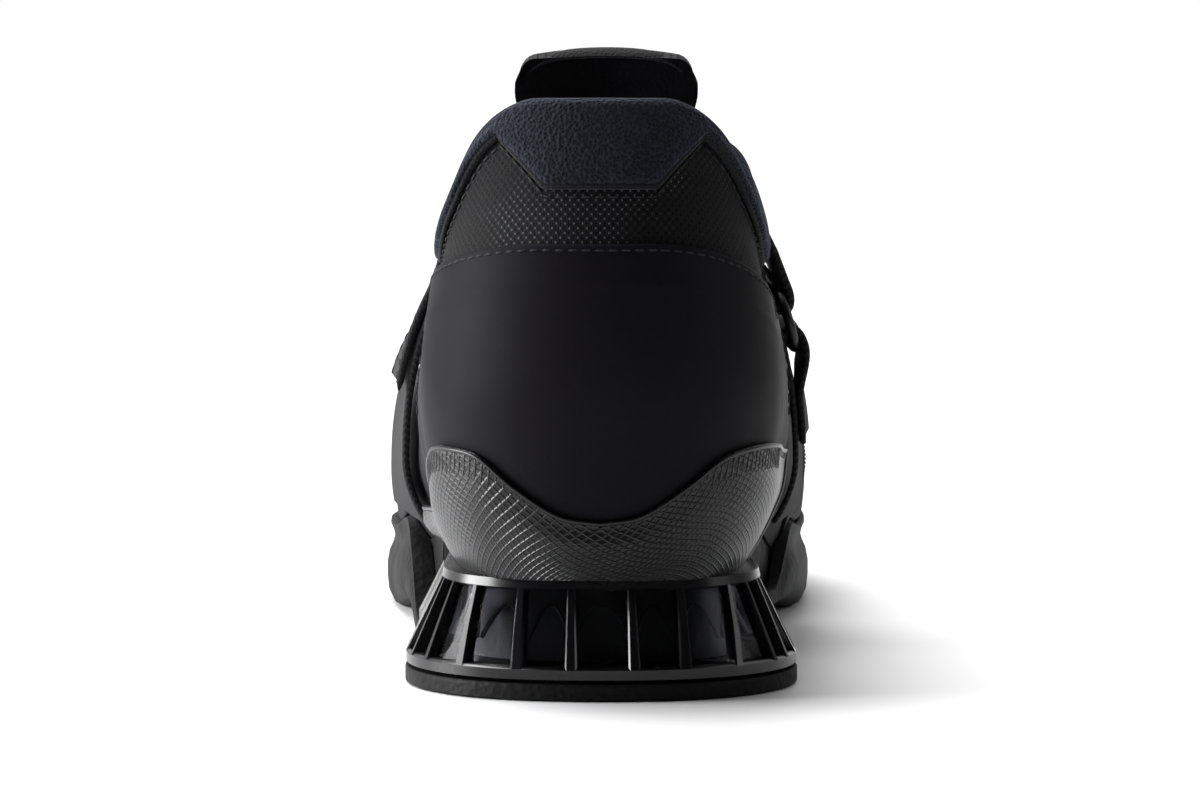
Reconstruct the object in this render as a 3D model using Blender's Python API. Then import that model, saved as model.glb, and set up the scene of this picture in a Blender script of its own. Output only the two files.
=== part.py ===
"""Weightlifting shoe for the left foot, empty, standing on its sole.

Metres, +Z up. +Y runs from the heel to the toe and +X to the medial side, so -X is lateral.
The origin is on the floor, under the middle of the whole shoe.
"""

import math
from collections import namedtuple

import bmesh
import bpy
from mathutils import Vector

# Driving sizes of the last and the upper
SOLE_LENGTH = 0.294
HEEL_WIDTH = 0.0768
ANKLE_WIDTH = 0.065
BALL_WIDTH = 0.101
COLLAR_HEIGHT = 0.1280
INSTEP_HEIGHT = 0.108
BALL_HEIGHT = 0.074
TOE_HEIGHT = 0.058
HEEL_STACK = 0.031
FOREFOOT_STACK = 0.0125
TOE_SPRING = 0.009
ARCH_RISE = 0.0050
RIDGE_SHIFT = 0.003
HEEL_ROUND = 0.042
TOE_ROUND = 0.060
WALL = 0.0022

# Clearances
GAP = 0.0003
OVERLAY_GAP = 0.0005

# Sole
OUTSOLE_HEEL_WIDTH = 0.088
OUTSOLE_BALL_WIDTH = 0.1053
RUBBER = 0.0039
SIDEWALL_HEIGHT = 0.0205
FLOOR_INSET = 0.003
WAIST_START = 0.1200
SIDEWALL_START = 0.41
SIDEWALL_MEDIAL_START = 0.47
SIDEWALL_RUN = 0.10
MIDSOLE_HEEL = 0.0047
MIDSOLE_TUCK = 0.0008
GROOVE_WIDTH = 0.0025
GROOVE_DEPTH = 0.0014
GROOVE_PITCH = 0.017
GROOVE_COUNT = 4
GROOVE_FIRST = 0.60

# Ribbed heel
BASE_RIM = 0.0033
FLANGE = 0.0027
FLANGE_INSET = 0.0095
RIB_PITCH = 0.0130
RIB_WIDTH = 0.0026
RIB_EDGE = 0.0003
WINDOW_DEPTH = 0.0035
CAGE_LATERAL_END = 0.116
CAGE_MEDIAL_END = 0.096

# Heel clip
CLIP_THICKNESS = 0.0024
CLIP_SEAT = 0.0027
CLIP_VALLEY = 0.0397
CLIP_PEAK = 0.0550
CLIP_LATERAL_END = 0.112
CLIP_MEDIAL_TOP_END = 0.070
CLIP_MEDIAL_FOOT_END = 0.048

# Panels over the upper
PANEL = 0.0012
COUNTER_TOP = 0.0994
COUNTER_FOOT = 0.034
COUNTER_END = 0.078
TOE_CAP_START = 0.243
STAY_WIDTH = 0.017
THROAT_TOP = 0.092
THROAT_FRONT = 0.206
THROAT_HALF_TOP = 0.0215
THROAT_HALF_FRONT = 0.0125
CUFF_PAD = 0.0045
CUFF_SKIN = 0.0016
CUFF_INSIDE = 0.026
CHEVRON_DEPTH = 0.0170
CUFF_EDGE = 0.007
CROWN = 0.0030

# Insole and tongue
INSOLE = 0.0038
INSOLE_INSET = 0.0012
TONGUE_HEIGHT = 0.1402
TONGUE_WIDTH = 0.046
TONGUE_THICKNESS = 0.0065
TONGUE_SHIFT = 0.0008

# Laces and eyelets
EYELET_ROWS = 6
EYELET_RADIUS = 0.0034
EYELET_HOLE = 0.0019
EYELET_EDGE = 0.0065
EYELET_HEIGHT = 0.0009
LACE_WIDTH = 0.0052
LACE_THICKNESS = 0.0016
LACE_SEAT = 0.0036
LACE_STEPS = 4
LACED_SHARE = 0.27
LACED_FALL = 0.14

# Strap, ring and webbing
STRAP_MIDDLE = 0.134
STRAP_WIDTH = 0.038
STRAP_COLUMNS = 4
STRAP_THICKNESS = 0.0018
STRAP_OVER_LACES = 0.0062
STRAP_FOLD = 0.0026
RING_BAR = 0.0013
RING_LENGTH = 0.045
WEBBING_THICKNESS = 0.0014
ANCHOR_TIP = 0.046
RING_DEPTH = 0.0125
RING_HEIGHT = 0.080
STRAP_FOOT = 0.029
STRAP_TIP = 0.058
TIP_LIFT = 0.0005

# Mesh density
HEEL_STEPS = 8
TOE_STEPS = 8
SIDE_STEPS = 14
WALL_ROWS = 7

# Sections of the last: widths from the middle line, heights over the floor.
# tuck is how far the foot of the wall comes in, square the squareness of the arch,
# and ankle is 1 where the section is the open tube of the collar.
Section = namedtuple("Section", "share lateral medial widest top tuck square ankle")
HEEL = HEEL_WIDTH
BALL = BALL_WIDTH
LAST = (
    Section(0.00, 0.500 * HEEL, 0.500 * HEEL, 0.52 * COLLAR_HEIGHT, 1.08 * COLLAR_HEIGHT, 0.22, 2.3, 1.0),
    Section(0.10, 0.500 * HEEL, 0.495 * HEEL, 0.52 * COLLAR_HEIGHT, 1.08 * COLLAR_HEIGHT, 0.22, 2.3, 1.0),
    Section(0.20, 0.515 * HEEL, 0.512 * HEEL, 0.49 * COLLAR_HEIGHT, 1.05 * COLLAR_HEIGHT, 0.20, 2.3, 1.0),
    Section(0.29, 0.540 * HEEL, 0.545 * HEEL, 0.43 * COLLAR_HEIGHT, 1.13 * INSTEP_HEIGHT, 0.17, 2.3, 0.7),
    Section(0.38, 0.430 * BALL, 0.420 * BALL, 0.41 * INSTEP_HEIGHT, 1.00 * INSTEP_HEIGHT, 0.14, 2.15, 0.0),
    Section(0.46, 0.452 * BALL, 0.428 * BALL, 0.36 * INSTEP_HEIGHT, 0.91 * INSTEP_HEIGHT, 0.11, 2.15, 0.0),
    Section(0.56, 0.490 * BALL, 0.452 * BALL, 0.49 * BALL_HEIGHT, 1.14 * BALL_HEIGHT, 0.08, 2.5, 0.0),
    Section(0.66, 0.513 * BALL, 0.482 * BALL, 0.45 * BALL_HEIGHT, 1.00 * BALL_HEIGHT, 0.06, 2.5, 0.0),
    Section(0.76, 0.500 * BALL, 0.480 * BALL, 0.53 * TOE_HEIGHT, 1.13 * TOE_HEIGHT, 0.05, 2.4, 0.0),
    Section(0.87, 0.440 * BALL, 0.455 * BALL, 0.55 * TOE_HEIGHT, 1.00 * TOE_HEIGHT, 0.05, 2.3, 0.0),
    Section(1.00, 0.345 * BALL, 0.420 * BALL, 0.58 * TOE_HEIGHT, 0.86 * TOE_HEIGHT, 0.05, 2.2, 0.0),
)

# Where the last's back and toe stand inside the sole's ends, by share of the wall's height
EndCurve = namedtuple("EndCurve", "share heel toe")
END_CURVES = (
    EndCurve(-0.30, 0.0090, 0.0095),
    EndCurve(0.00, 0.0056, 0.0076),
    EndCurve(0.20, 0.0004, 0.0068),
    EndCurve(0.36, -0.0021, 0.0085),
    EndCurve(0.55, 0.0000, 0.0150),
    EndCurve(0.80, 0.0085, 0.0280),
    EndCurve(1.05, 0.0155, 0.0440),
)

# The collar's edge, heights as shares of the collar's
CollarPoint = namedtuple("CollarPoint", "share lateral medial")
COLLAR = (
    CollarPoint(0.000, 1.000, 1.000),
    CollarPoint(0.015, 0.995, 0.995),
    CollarPoint(0.045, 0.945, 0.945),
    CollarPoint(0.090, 0.845, 0.850),
    CollarPoint(0.150, 0.772, 0.775),
    CollarPoint(0.210, 0.782, 0.795),
    CollarPoint(0.270, 0.838, 0.888),
    CollarPoint(0.320, 0.880, 0.932),
    CollarPoint(0.360, 0.960, 0.990),
)

# Outline of the outsole on the floor
SolePoint = namedtuple("SolePoint", "share lateral medial")
OUTLINE = (
    SolePoint(0.00, 0.500 * OUTSOLE_HEEL_WIDTH, 0.500 * OUTSOLE_HEEL_WIDTH),
    SolePoint(0.12, 0.500 * OUTSOLE_HEEL_WIDTH, 0.500 * OUTSOLE_HEEL_WIDTH),
    SolePoint(0.22, 0.495 * OUTSOLE_HEEL_WIDTH, 0.470 * OUTSOLE_HEEL_WIDTH),
    SolePoint(0.31, 0.490 * OUTSOLE_HEEL_WIDTH, 0.410 * OUTSOLE_HEEL_WIDTH),
    SolePoint(0.39, 0.498 * OUTSOLE_HEEL_WIDTH, 0.385 * OUTSOLE_HEEL_WIDTH),
    SolePoint(0.46, 0.445 * OUTSOLE_BALL_WIDTH, 0.380 * OUTSOLE_BALL_WIDTH),
    SolePoint(0.54, 0.478 * OUTSOLE_BALL_WIDTH, 0.435 * OUTSOLE_BALL_WIDTH),
    SolePoint(0.62, 0.508 * OUTSOLE_BALL_WIDTH, 0.468 * OUTSOLE_BALL_WIDTH),
    SolePoint(0.70, 0.521 * OUTSOLE_BALL_WIDTH, 0.483 * OUTSOLE_BALL_WIDTH),
    SolePoint(0.80, 0.480 * OUTSOLE_BALL_WIDTH, 0.472 * OUTSOLE_BALL_WIDTH),
    SolePoint(0.90, 0.425 * OUTSOLE_BALL_WIDTH, 0.455 * OUTSOLE_BALL_WIDTH),
    SolePoint(1.00, 0.350 * OUTSOLE_BALL_WIDTH, 0.430 * OUTSOLE_BALL_WIDTH),
)

# Side of the outsole: height as a share of the wall, and how far in it stands there
SideStep = namedtuple("SideStep", "height heel forefoot")
SIDE_PROFILE = (
    SideStep(0.00, 0.0012, 0.0022),
    SideStep(0.14, 0.0000, 0.0004),
    SideStep(0.38, 0.0000, 0.0000),
    SideStep(0.60, 0.0000, 0.0004),
    SideStep(0.74, 0.0000, 0.0016),
    SideStep(0.94, 0.0002, 0.0009),
    SideStep(1.00, 0.0006, 0.0015),
)

# Top edge of the heel clip, from the back's middle to the front end: 0 is valley, 1 is peak
ClipPoint = namedtuple("ClipPoint", "distance lateral medial")
CLIP_EDGE = (
    ClipPoint(0.000, 0.00, 0.00),
    ClipPoint(0.008, 0.10, 0.10),
    ClipPoint(0.018, 0.50, 0.50),
    ClipPoint(0.027, 0.91, 0.88),
    ClipPoint(0.036, 1.00, 1.00),
    ClipPoint(0.048, 0.93, 1.00),
    ClipPoint(0.066, 0.30, 0.88),
    ClipPoint(0.085, -0.12, 0.70),
    ClipPoint(0.130, -0.45, 0.40),
)

# Tongue, from its foot to its top: place along the sole, height of its middle as a share
# of the tongue's, half width as a share of its width, drop of its sides, thickness share
TonguePoint = namedtuple("TonguePoint", "along height half drop thick")
TONGUE = (
    TonguePoint(0.2200, 0.440, 0.38, 0.0045, 0.45),
    TonguePoint(0.2000, 0.490, 0.46, 0.0062, 0.55),
    TonguePoint(0.1700, 0.570, 0.50, 0.0078, 0.75),
    TonguePoint(0.1400, 0.662, 0.53, 0.0100, 0.90),
    TonguePoint(0.1180, 0.740, 0.51, 0.0115, 1.00),
    TonguePoint(0.1040, 0.806, 0.40, 0.0120, 1.05),
    TonguePoint(0.0990, 0.880, 0.39, 0.0075, 1.05),
    TonguePoint(0.0940, 0.950, 0.47, 0.0070, 1.05),
    TonguePoint(0.0915, 1.000, 0.44, 0.0060, 0.80),
)


def read(rows, column, place):
    """Smooth value of a table's column at a place in its first column."""
    keys = [row[0] for row in rows]
    values = [getattr(row, column) for row in rows]
    place = min(max(place, keys[0]), keys[-1])
    index = 0
    while index < len(keys) - 2 and place > keys[index + 1]:
        index += 1
    span = keys[index + 1] - keys[index]
    rise = values[index + 1] - values[index]
    before = rise / span
    after = rise / span
    if index > 0:
        before = (values[index + 1] - values[index - 1]) / (keys[index + 1] - keys[index - 1])
    if index < len(keys) - 2:
        after = (values[index + 2] - values[index]) / (keys[index + 2] - keys[index])
    t = (place - keys[index]) / span
    start = values[index] * (2 * t**3 - 3 * t**2 + 1) + before * span * (t**3 - 2 * t**2 + t)
    end = values[index + 1] * (3 * t**2 - 2 * t**3) + after * span * (t**3 - t**2)
    return start + end


def ease(value, low, high):
    """0 below low, 1 above high, and a smooth step between."""
    t = min(max((value - low) / (high - low), 0.0), 1.0)
    return t * t * (3 - 2 * t)


def mix(a, b, t):
    return a + (b - a) * t


def ground(share):
    """Height of the tread: flat at heel and ball, raised in the arch and at the toe."""
    waist = WAIST_START / SOLE_LENGTH
    arch = ARCH_RISE * ease(share, waist, waist + 0.05) * (1 - ease(share, 0.50, 0.62))
    spring = TOE_SPRING * ease(share, 0.76, 1.10) / ease(1.0, 0.76, 1.10)
    return arch + spring


def feather(share):
    """Height at which the upper meets the sole."""
    drop = ease(share, 0.30, 0.64)
    return mix(HEEL_STACK, FOREFOOT_STACK, drop) + ground(share) * ease(share, 0.6, 0.8)


def stations():
    """Places around one side, from the heel's middle (0) to the toe's (1)."""
    heel = [HEEL_TURN * step / HEEL_STEPS for step in range(HEEL_STEPS)]
    side = [mix(HEEL_TURN, 1 - TOE_TURN, step / SIDE_STEPS) for step in range(SIDE_STEPS)]
    toe = [1 - TOE_TURN * step / TOE_STEPS for step in range(TOE_STEPS, -1, -1)]
    return sorted(heel + side + toe + [place_of(THROAT_TOP - 0.004), place_of(THROAT_TOP)])


HEEL_TURN = HEEL_ROUND * 1.4 / SOLE_LENGTH
TOE_TURN = TOE_ROUND * 1.4 / SOLE_LENGTH


def along_sole(place):
    """Share of the sole's length and the roundness of its end at a place around one side."""
    if place < HEEL_TURN:
        angle = place / HEEL_TURN * math.pi / 2
        share = HEEL_ROUND * (1 - math.cos(angle)) / SOLE_LENGTH
        return share, (1 - math.cos(angle) ** 2.3) ** (1 / 2.3)
    if place > 1 - TOE_TURN:
        angle = (1 - place) / TOE_TURN * math.pi / 2
        share = 1 - TOE_ROUND * (1 - math.cos(angle)) / SOLE_LENGTH
        return share, (1 - math.cos(angle) ** 2.3) ** (1 / 2.3)
    part = (place - HEEL_TURN) / (1 - TOE_TURN - HEEL_TURN)
    return mix(HEEL_ROUND / SOLE_LENGTH, 1 - TOE_ROUND / SOLE_LENGTH, part), 1.0


def place_of(distance):
    """Place around one side at a distance along the sole."""
    if distance < HEEL_ROUND:
        return HEEL_TURN * math.acos(1 - max(distance, 0.0) / HEEL_ROUND) * 2 / math.pi
    if distance > SOLE_LENGTH - TOE_ROUND:
        left = max(SOLE_LENGTH - distance, 0.0)
        return 1 - TOE_TURN * math.acos(1 - left / TOE_ROUND) * 2 / math.pi
    part = (distance - HEEL_ROUND) / (SOLE_LENGTH - TOE_ROUND - HEEL_ROUND)
    return mix(HEEL_TURN, 1 - TOE_TURN, part)


WIDEST_RISE = 0.34


def last_point(place, rise, side):
    """A point of the last's skin. rise is 0 at the feather edge and 1 at the ridge."""
    if place < 0:
        place = -place
        side = -side
    if place > 1:
        place = 2 - place
        side = -side
    if rise > 1:
        rise = 2 - rise
        side = -side
    share, roundness = along_sole(place)
    lateral = read(LAST, "lateral", share)
    medial = read(LAST, "medial", share)
    half = (lateral + medial) / 2
    middle = (medial - lateral) / 2
    widest = read(LAST, "widest", share)
    top = read(LAST, "top", share)
    ankle = min(max(read(LAST, "ankle", share), 0.0), 1.0)
    foot = feather(share)
    shift = 0.0
    if rise < WIDEST_RISE:
        t = (WIDEST_RISE - rise) / WIDEST_RISE
        height = mix(widest, foot, t)
        width = 1 - read(LAST, "tuck", share) * t * t
    else:
        t = (rise - WIDEST_RISE) / (1 - WIDEST_RISE)
        power = 2 / read(LAST, "square", share)
        arch_width = max(math.cos(t * math.pi / 2), 0.0) ** power
        arch_height = mix(widest, top, math.sin(t * math.pi / 2) ** power)
        tube_width = mix(1.0, ANKLE_WIDTH / 2 / half, ease(t, 0.0, 0.75))
        tube_height = mix(widest, top, t)
        width = mix(arch_width, tube_width, ankle)
        height = mix(arch_height, tube_height, ankle)
        shift = RIDGE_SHIFT * (1 - arch_width) * (1 - ankle)
    tall = (height - foot) / (top - foot)
    heel_in = read(END_CURVES, "heel", tall) * (1 - ease(share, 0.0, 0.30))
    toe_in = read(END_CURVES, "toe", tall) * ease(share, 0.72, 1.0)
    x = middle * ease(share, 0.0, 0.2) + shift + side * half * width * roundness
    return Vector((x, share * SOLE_LENGTH + heel_in - toe_in, height))


def skin(place, rise, side, out=0.0):
    """A point at a distance outside the last's skin."""
    point = last_point(place, rise, side)
    if out == 0.0:
        return point
    step = 0.004
    down = last_point(place, rise - step, side) - last_point(place, rise + step, side)
    ahead = last_point(place + step, rise, side) - last_point(place - step, rise, side)
    normal = down.cross(ahead) * side
    return point + normal.normalized() * out


def rise_at_height(place, side, height):
    """The rise at which the wall of the last has a height."""
    low = -0.6
    high = 1.0
    for _ in range(26):
        middle = (low + high) / 2
        if last_point(place, middle, side).z < height:
            low = middle
        else:
            high = middle
    return (low + high) / 2


def rise_at_width(place, side, width):
    """The rise at which the arch of the last is as near to its ridge as a width."""
    ridge = (last_point(place, 1.0, -1).x + last_point(place, 1.0, 1).x) / 2
    low = WIDEST_RISE
    high = 1.0
    for _ in range(26):
        middle = (low + high) / 2
        if abs(last_point(place, middle, side).x - ridge) > width:
            low = middle
        else:
            high = middle
    return (low + high) / 2


def at_height(place, height, out=0.0):
    """A point of the wall at a height. place is negative on the lateral side."""
    side = -1 if place < 0 else 1
    rise = rise_at_height(abs(place), side, height)
    return skin(abs(place), rise, side, out)


def throat_half(distance):
    """Half width of the throat: wide at the top, round at its front end."""
    part = (distance - THROAT_TOP) / (THROAT_FRONT - THROAT_TOP)
    left = max(THROAT_FRONT - distance, 0.0)
    turn = THROAT_HALF_FRONT
    end = 1.0
    if left < turn:
        end = math.sqrt(max(1 - (1 - left / turn) ** 2, 0.0))
    return mix(THROAT_HALF_TOP, THROAT_HALF_FRONT, min(max(part, 0.0), 1.0)) * end


def edge_rise(place, side):
    """The rise at which the upper ends at the collar or the throat."""
    share, _ = along_sole(place)
    distance = share * SOLE_LENGTH
    if distance >= THROAT_FRONT:
        return 1.0
    column = "lateral" if side < 0 else "medial"
    collar = 1.0
    if share < COLLAR[-1].share:
        height = read(COLLAR, column, share) * COLLAR_HEIGHT
        collar = rise_at_height(place, side, height)
    throat = 1.0
    if distance > THROAT_TOP - 0.0005:
        throat = rise_at_width(place, side, throat_half(distance))
    return min(collar, throat)


def outline_point(place, side, inset=0.0):
    """A point of the outsole's outline, at a distance inside it."""

    def at(spot):
        turn = side
        if spot < 0:
            spot = -spot
            turn = -turn
        if spot > 1:
            spot = 2 - spot
            turn = -turn
        share, roundness = along_sole(spot)
        lateral = read(OUTLINE, "lateral", share)
        medial = read(OUTLINE, "medial", share)
        middle = (medial - lateral) / 2
        return Vector((middle + turn * (lateral + medial) / 2 * roundness, share * SOLE_LENGTH, 0))

    point = at(place)
    if inset == 0.0:
        return point
    ahead = at(place + 0.004) - at(place - 0.004)
    inward = Vector((-ahead.y, ahead.x, 0)).normalized() * side
    return point + inward * inset


def material(name, colour, roughness, metallic=0.0):
    finish = bpy.data.materials.new(name)
    finish.use_nodes = True
    shader = finish.node_tree.nodes["Principled BSDF"]
    shader.inputs["Base Color"].default_value = (*colour, 1)
    shader.inputs["Roughness"].default_value = roughness
    shader.inputs["Metallic"].default_value = metallic
    return finish


def add_object(name, mesh, finish, smooth=True):
    mesh.materials.append(finish)
    if smooth:
        mesh.shade_smooth()
        mesh.set_sharp_from_angle(angle=math.radians(40))
    piece = bpy.data.objects.new(name, mesh)
    bpy.context.scene.collection.objects.link(piece)
    piece.parent = bpy.data.objects[SHOE]
    return piece


def grid_faces(bm, grid):
    """Quads between the columns of a grid of points. Columns go forward, rows from left to right."""
    columns = [[bm.verts.new(point) for point in column] for column in grid]
    for here, ahead in zip(columns, columns[1:]):
        for row in range(len(here) - 1):
            bm.faces.new((here[row], here[row + 1], ahead[row + 1], ahead[row]))


def sheet(name, grids, thickness, offset, finish):
    """An open skin from grids that share their edges, thickened to a closed body."""
    bm = bmesh.new()
    for grid in grids:
        grid_faces(bm, grid)
    bmesh.ops.remove_doubles(bm, verts=bm.verts, dist=1e-6)
    mesh = bpy.data.meshes.new(name)
    bm.to_mesh(mesh)
    bm.free()
    piece = add_object(name, mesh, finish)
    solid = piece.modifiers.new("Thickness", "SOLIDIFY")
    solid.thickness = thickness
    solid.offset = offset
    return piece


def closed_from_loops(name, loops, finish, smooth=True):
    """A closed body from loops of points, each a chain and then its mate chain run backwards."""
    bm = bmesh.new()
    rings = [[bm.verts.new(point) for point in loop] for loop in loops]
    count = len(rings[0])
    for lower, upper in zip(rings, rings[1:]):
        for index in range(count):
            after = (index + 1) % count
            bm.faces.new((lower[index], lower[after], upper[after], upper[index]))
    for ring in (rings[0], rings[-1]):
        for index in range((count - 1) // 2):
            mate = count - 1 - index
            if mate - 1 > index + 1:
                bm.faces.new((ring[index], ring[index + 1], ring[mate - 1], ring[mate]))
            else:
                bm.faces.new((ring[index], ring[index + 1], ring[mate]))
    bmesh.ops.remove_doubles(bm, verts=bm.verts, dist=1e-6)
    bmesh.ops.recalc_face_normals(bm, faces=bm.faces)
    mesh = bpy.data.meshes.new(name)
    bm.to_mesh(mesh)
    bm.free()
    return add_object(name, mesh, finish, smooth)


def around(point_at, places):
    """One loop: the lateral side from heel to toe, then the medial side back."""
    lateral = [point_at(place, -1) for place in places]
    medial = [point_at(place, 1) for place in reversed(places)]
    return lateral + medial


def cup_wall(share, side):
    """0 where the outsole is a flat sheet, 1 where it has its full side wall."""
    start = SIDEWALL_START if side < 0 else SIDEWALL_MEDIAL_START
    return ease(share, start, start + SIDEWALL_RUN)


def lip_height(share, side):
    return ground(share) + mix(RUBBER, SIDEWALL_HEIGHT, cup_wall(share, side))


def cup_point(place, side, clearance):
    """Inner face of the outsole's wall, along the upper's skin at the lip."""
    share, _ = along_sole(place)
    rise = rise_at_height(place, side, lip_height(share, side))
    toe_room = 0.0014 * ease(share, 0.88, 1.0)
    return skin(place, max(rise, 0.0), side, clearance + toe_room)


def sole_places():
    """Stations of the outsole and the midsole, with a pair where the ribbed heel ends."""
    extra = [place_of(WAIST_START - 0.0006), place_of(WAIST_START)]
    return sorted(stations()[1:-1] + extra)


def build_outsole(finish):
    places = sole_places()

    def outer(step):
        def point_at(place, side):
            share, _ = along_sole(place)
            inset = mix(step.heel, step.forefoot, cup_wall(share, side))
            point = outline_point(place, side, inset)
            point.z = mix(ground(share), lip_height(share, side), step.height)
            return point

        return point_at

    def inner(at_lip):
        def point_at(place, side):
            share, _ = along_sole(place)
            flat = outline_point(place, side, FLOOR_INSET)
            cup = cup_point(place, side, OVERLAY_GAP)
            start = SIDEWALL_START if side < 0 else SIDEWALL_MEDIAL_START
            point = flat.lerp(cup, ease(share, start - 0.05, start))
            point.z = lip_height(share, side) if at_lip else ground(share) + RUBBER
            return point

        return point_at

    loops = [around(outer(step), places) for step in SIDE_PROFILE]
    loops.append(around(inner(True), places))
    loops.append(around(inner(False), places))
    piece = closed_from_loops("outsole", loops, finish)
    for index in range(GROOVE_COUNT):
        cut_groove(piece, index)
    return piece


def cut_groove(piece, index):
    """A flex groove across the tread of the forefoot."""
    along = GROOVE_FIRST * SOLE_LENGTH + index * GROOVE_PITCH
    share = along / SOLE_LENGTH
    bpy.ops.mesh.primitive_cube_add(size=1)
    cutter = bpy.context.object
    cutter.name = f"groove_cutter_{index + 1}"
    depth = GROOVE_DEPTH + 0.02
    cutter.scale = (OUTSOLE_BALL_WIDTH * 1.3, GROOVE_WIDTH, depth)
    cutter.location = (0, along, ground(share) + GROOVE_DEPTH - depth / 2)
    cutter.hide_render = True
    cutter.display_type = "WIRE"
    cutter.parent = bpy.data.objects[SHOE]
    cut = piece.modifiers.new(f"Groove {index + 1}", "BOOLEAN")
    cut.operation = "DIFFERENCE"
    cut.object = cutter


CAGE_TOP = HEEL_STACK - MIDSOLE_HEEL - GAP


def build_midsole(finish):
    """Foam between the ribbed heel, the outsole and the upper, carved in at the arch."""
    places = sole_places()

    def top(place, side):
        share, _ = along_sole(place)
        foot = skin(place, 0.0, side, -MIDSOLE_TUCK)
        cup = cup_point(place, side, OVERLAY_GAP - GAP)
        point = foot.lerp(cup, cup_wall(share, side))
        point.z = feather(share) - GAP
        return point

    def bottom(place, side):
        share, _ = along_sole(place)
        if share * SOLE_LENGTH < WAIST_START - 0.0003:
            return at_height(place * side, CAGE_TOP + GAP, -MIDSOLE_TUCK)
        point = outline_point(place, side, FLOOR_INSET + OVERLAY_GAP)
        cup = cup_point(place, side, OVERLAY_GAP - GAP)
        if abs(cup.x) < abs(point.x) or cup_wall(share, side) == 1:
            point = cup
        point.z = ground(share) + RUBBER + OVERLAY_GAP
        return point

    return closed_from_loops("midsole", [around(bottom, places), around(top, places)], finish)


def cage_columns(side, end):
    """Distances around one side of the ribbed heel, with True where a rib stands."""
    columns = [(0.0, False)]
    middle = RIB_PITCH / 2
    while middle + RIB_WIDTH / 2 < end - RIB_WIDTH - RIB_EDGE:
        columns.append((middle - RIB_WIDTH / 2 - RIB_EDGE, False))
        columns.append((middle - RIB_WIDTH / 2, True))
        columns.append((middle + RIB_WIDTH / 2, True))
        columns.append((middle + RIB_WIDTH / 2 + RIB_EDGE, False))
        middle += RIB_PITCH
    columns.append((end - RIB_WIDTH - RIB_EDGE, False))
    columns.append((end - RIB_WIDTH, True))
    columns.append((end, True))
    return columns


def build_heel_cage(finish):
    """Ribs between a base rim and a flange, round a closed core."""
    girth = 1.0 / place_length()

    def row(height, inset, recessed, side, end):
        points = []
        for distance, rib in cage_columns(side, end):
            place = distance * girth
            share, _ = along_sole(place)
            recess = WINDOW_DEPTH if recessed and not rib else 0.0
            point = outline_point(place, side, inset + recess)
            point.z = height + ground(share) if height < CAGE_TOP / 2 else height
            points.append(point)
        return points

    rim = RUBBER + GAP + BASE_RIM
    flange = CAGE_TOP - FLANGE
    levels = (
        (RUBBER + GAP, 0.0002, False),
        (rim, 0.0002, False),
        (rim + 0.0002, 0.0012, True),
        (flange - 0.0002, FLANGE_INSET - 0.001, True),
        (flange, FLANGE_INSET - 0.001, False),
        (CAGE_TOP, FLANGE_INSET, False),
    )
    lateral_end = side_length(CAGE_LATERAL_END)
    medial_end = side_length(CAGE_MEDIAL_END)
    bm = bmesh.new()
    rings = []
    for height, inset, recessed in levels:
        lateral = row(height, inset, recessed, -1, lateral_end)
        medial = row(height, inset, recessed, 1, medial_end)
        loop = list(reversed(lateral)) + medial[1:]
        rings.append([bm.verts.new(point) for point in loop])
    count = len(rings[0])
    for lower, upper in zip(rings, rings[1:]):
        for index in range(count):
            after = (index + 1) % count
            bm.faces.new((lower[index], lower[after], upper[after], upper[index]))
    bm.faces.new(rings[0])
    bm.faces.new(rings[-1])
    bmesh.ops.recalc_face_normals(bm, faces=bm.faces)
    bmesh.ops.triangulate(bm, faces=[face for face in bm.faces if len(face.verts) > 4])
    mesh = bpy.data.meshes.new("heel_cage")
    bm.to_mesh(mesh)
    bm.free()
    return add_object("heel_cage", mesh, finish, smooth=False)


def place_length():
    """Length around one side of the outsole's outline, heel middle to toe middle."""
    return side_length(SOLE_LENGTH)


def side_length(distance):
    """Length around the lateral outline from the heel's middle to a distance along the sole."""
    last = place_of(distance)
    return last * FULL_GIRTH


FULL_GIRTH = SOLE_LENGTH + 0.4 * (HEEL_ROUND + TOE_ROUND)


def clip_top(distance, side):
    column = "lateral" if side < 0 else "medial"
    return mix(CLIP_VALLEY, CLIP_PEAK, read(CLIP_EDGE, column, distance))


def places_to(end):
    """The last's own stations up to an end, so that layers over each other have matching faces."""
    return [place for place in stations() if place < end - 0.0005] + [end]


def build_heel_clip(finish):
    """A cup round the heel with a wavy top edge and a longer lateral wing."""
    out = OVERLAY_GAP * 2 + PANEL
    rows = 5
    lateral = [-place for place in reversed(places_to(place_of(CLIP_LATERAL_END)))]
    grid = []
    for station in lateral + places_to(place_of(CLIP_MEDIAL_TOP_END))[1:]:
        line = []
        for row in range(rows + 1):
            up = 1 - row / rows
            medial_end = mix(place_of(CLIP_MEDIAL_FOOT_END), place_of(CLIP_MEDIAL_TOP_END), up)
            place = min(station, medial_end)
            side = -1 if place < 0 else 1
            high = clip_top(abs(place) * FULL_GIRTH, side)
            line.append(at_height(place, mix(CAGE_TOP + CLIP_SEAT, high, up), out))
        grid.append(line)
    return sheet("heel_clip", [grid], CLIP_THICKNESS, 1, finish)


def upper_places():
    """The last's stations, with closer ones where the throat turns round."""
    return sorted(stations() + [place_of(THROAT_FRONT - back) for back in (0.0, 0.003, 0.008)])


def build_upper(finish):
    grids = []
    for side in (-1, 1):
        grid = []
        for place in upper_places():
            edge = edge_rise(place, side)
            line = [skin(place, edge * row / WALL_ROWS, side) for row in range(WALL_ROWS + 1)]
            if side > 0:
                line.reverse()
            grid.append(line)
        grids.append(grid)
    return sheet("upper", grids, WALL, -1, finish)


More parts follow.
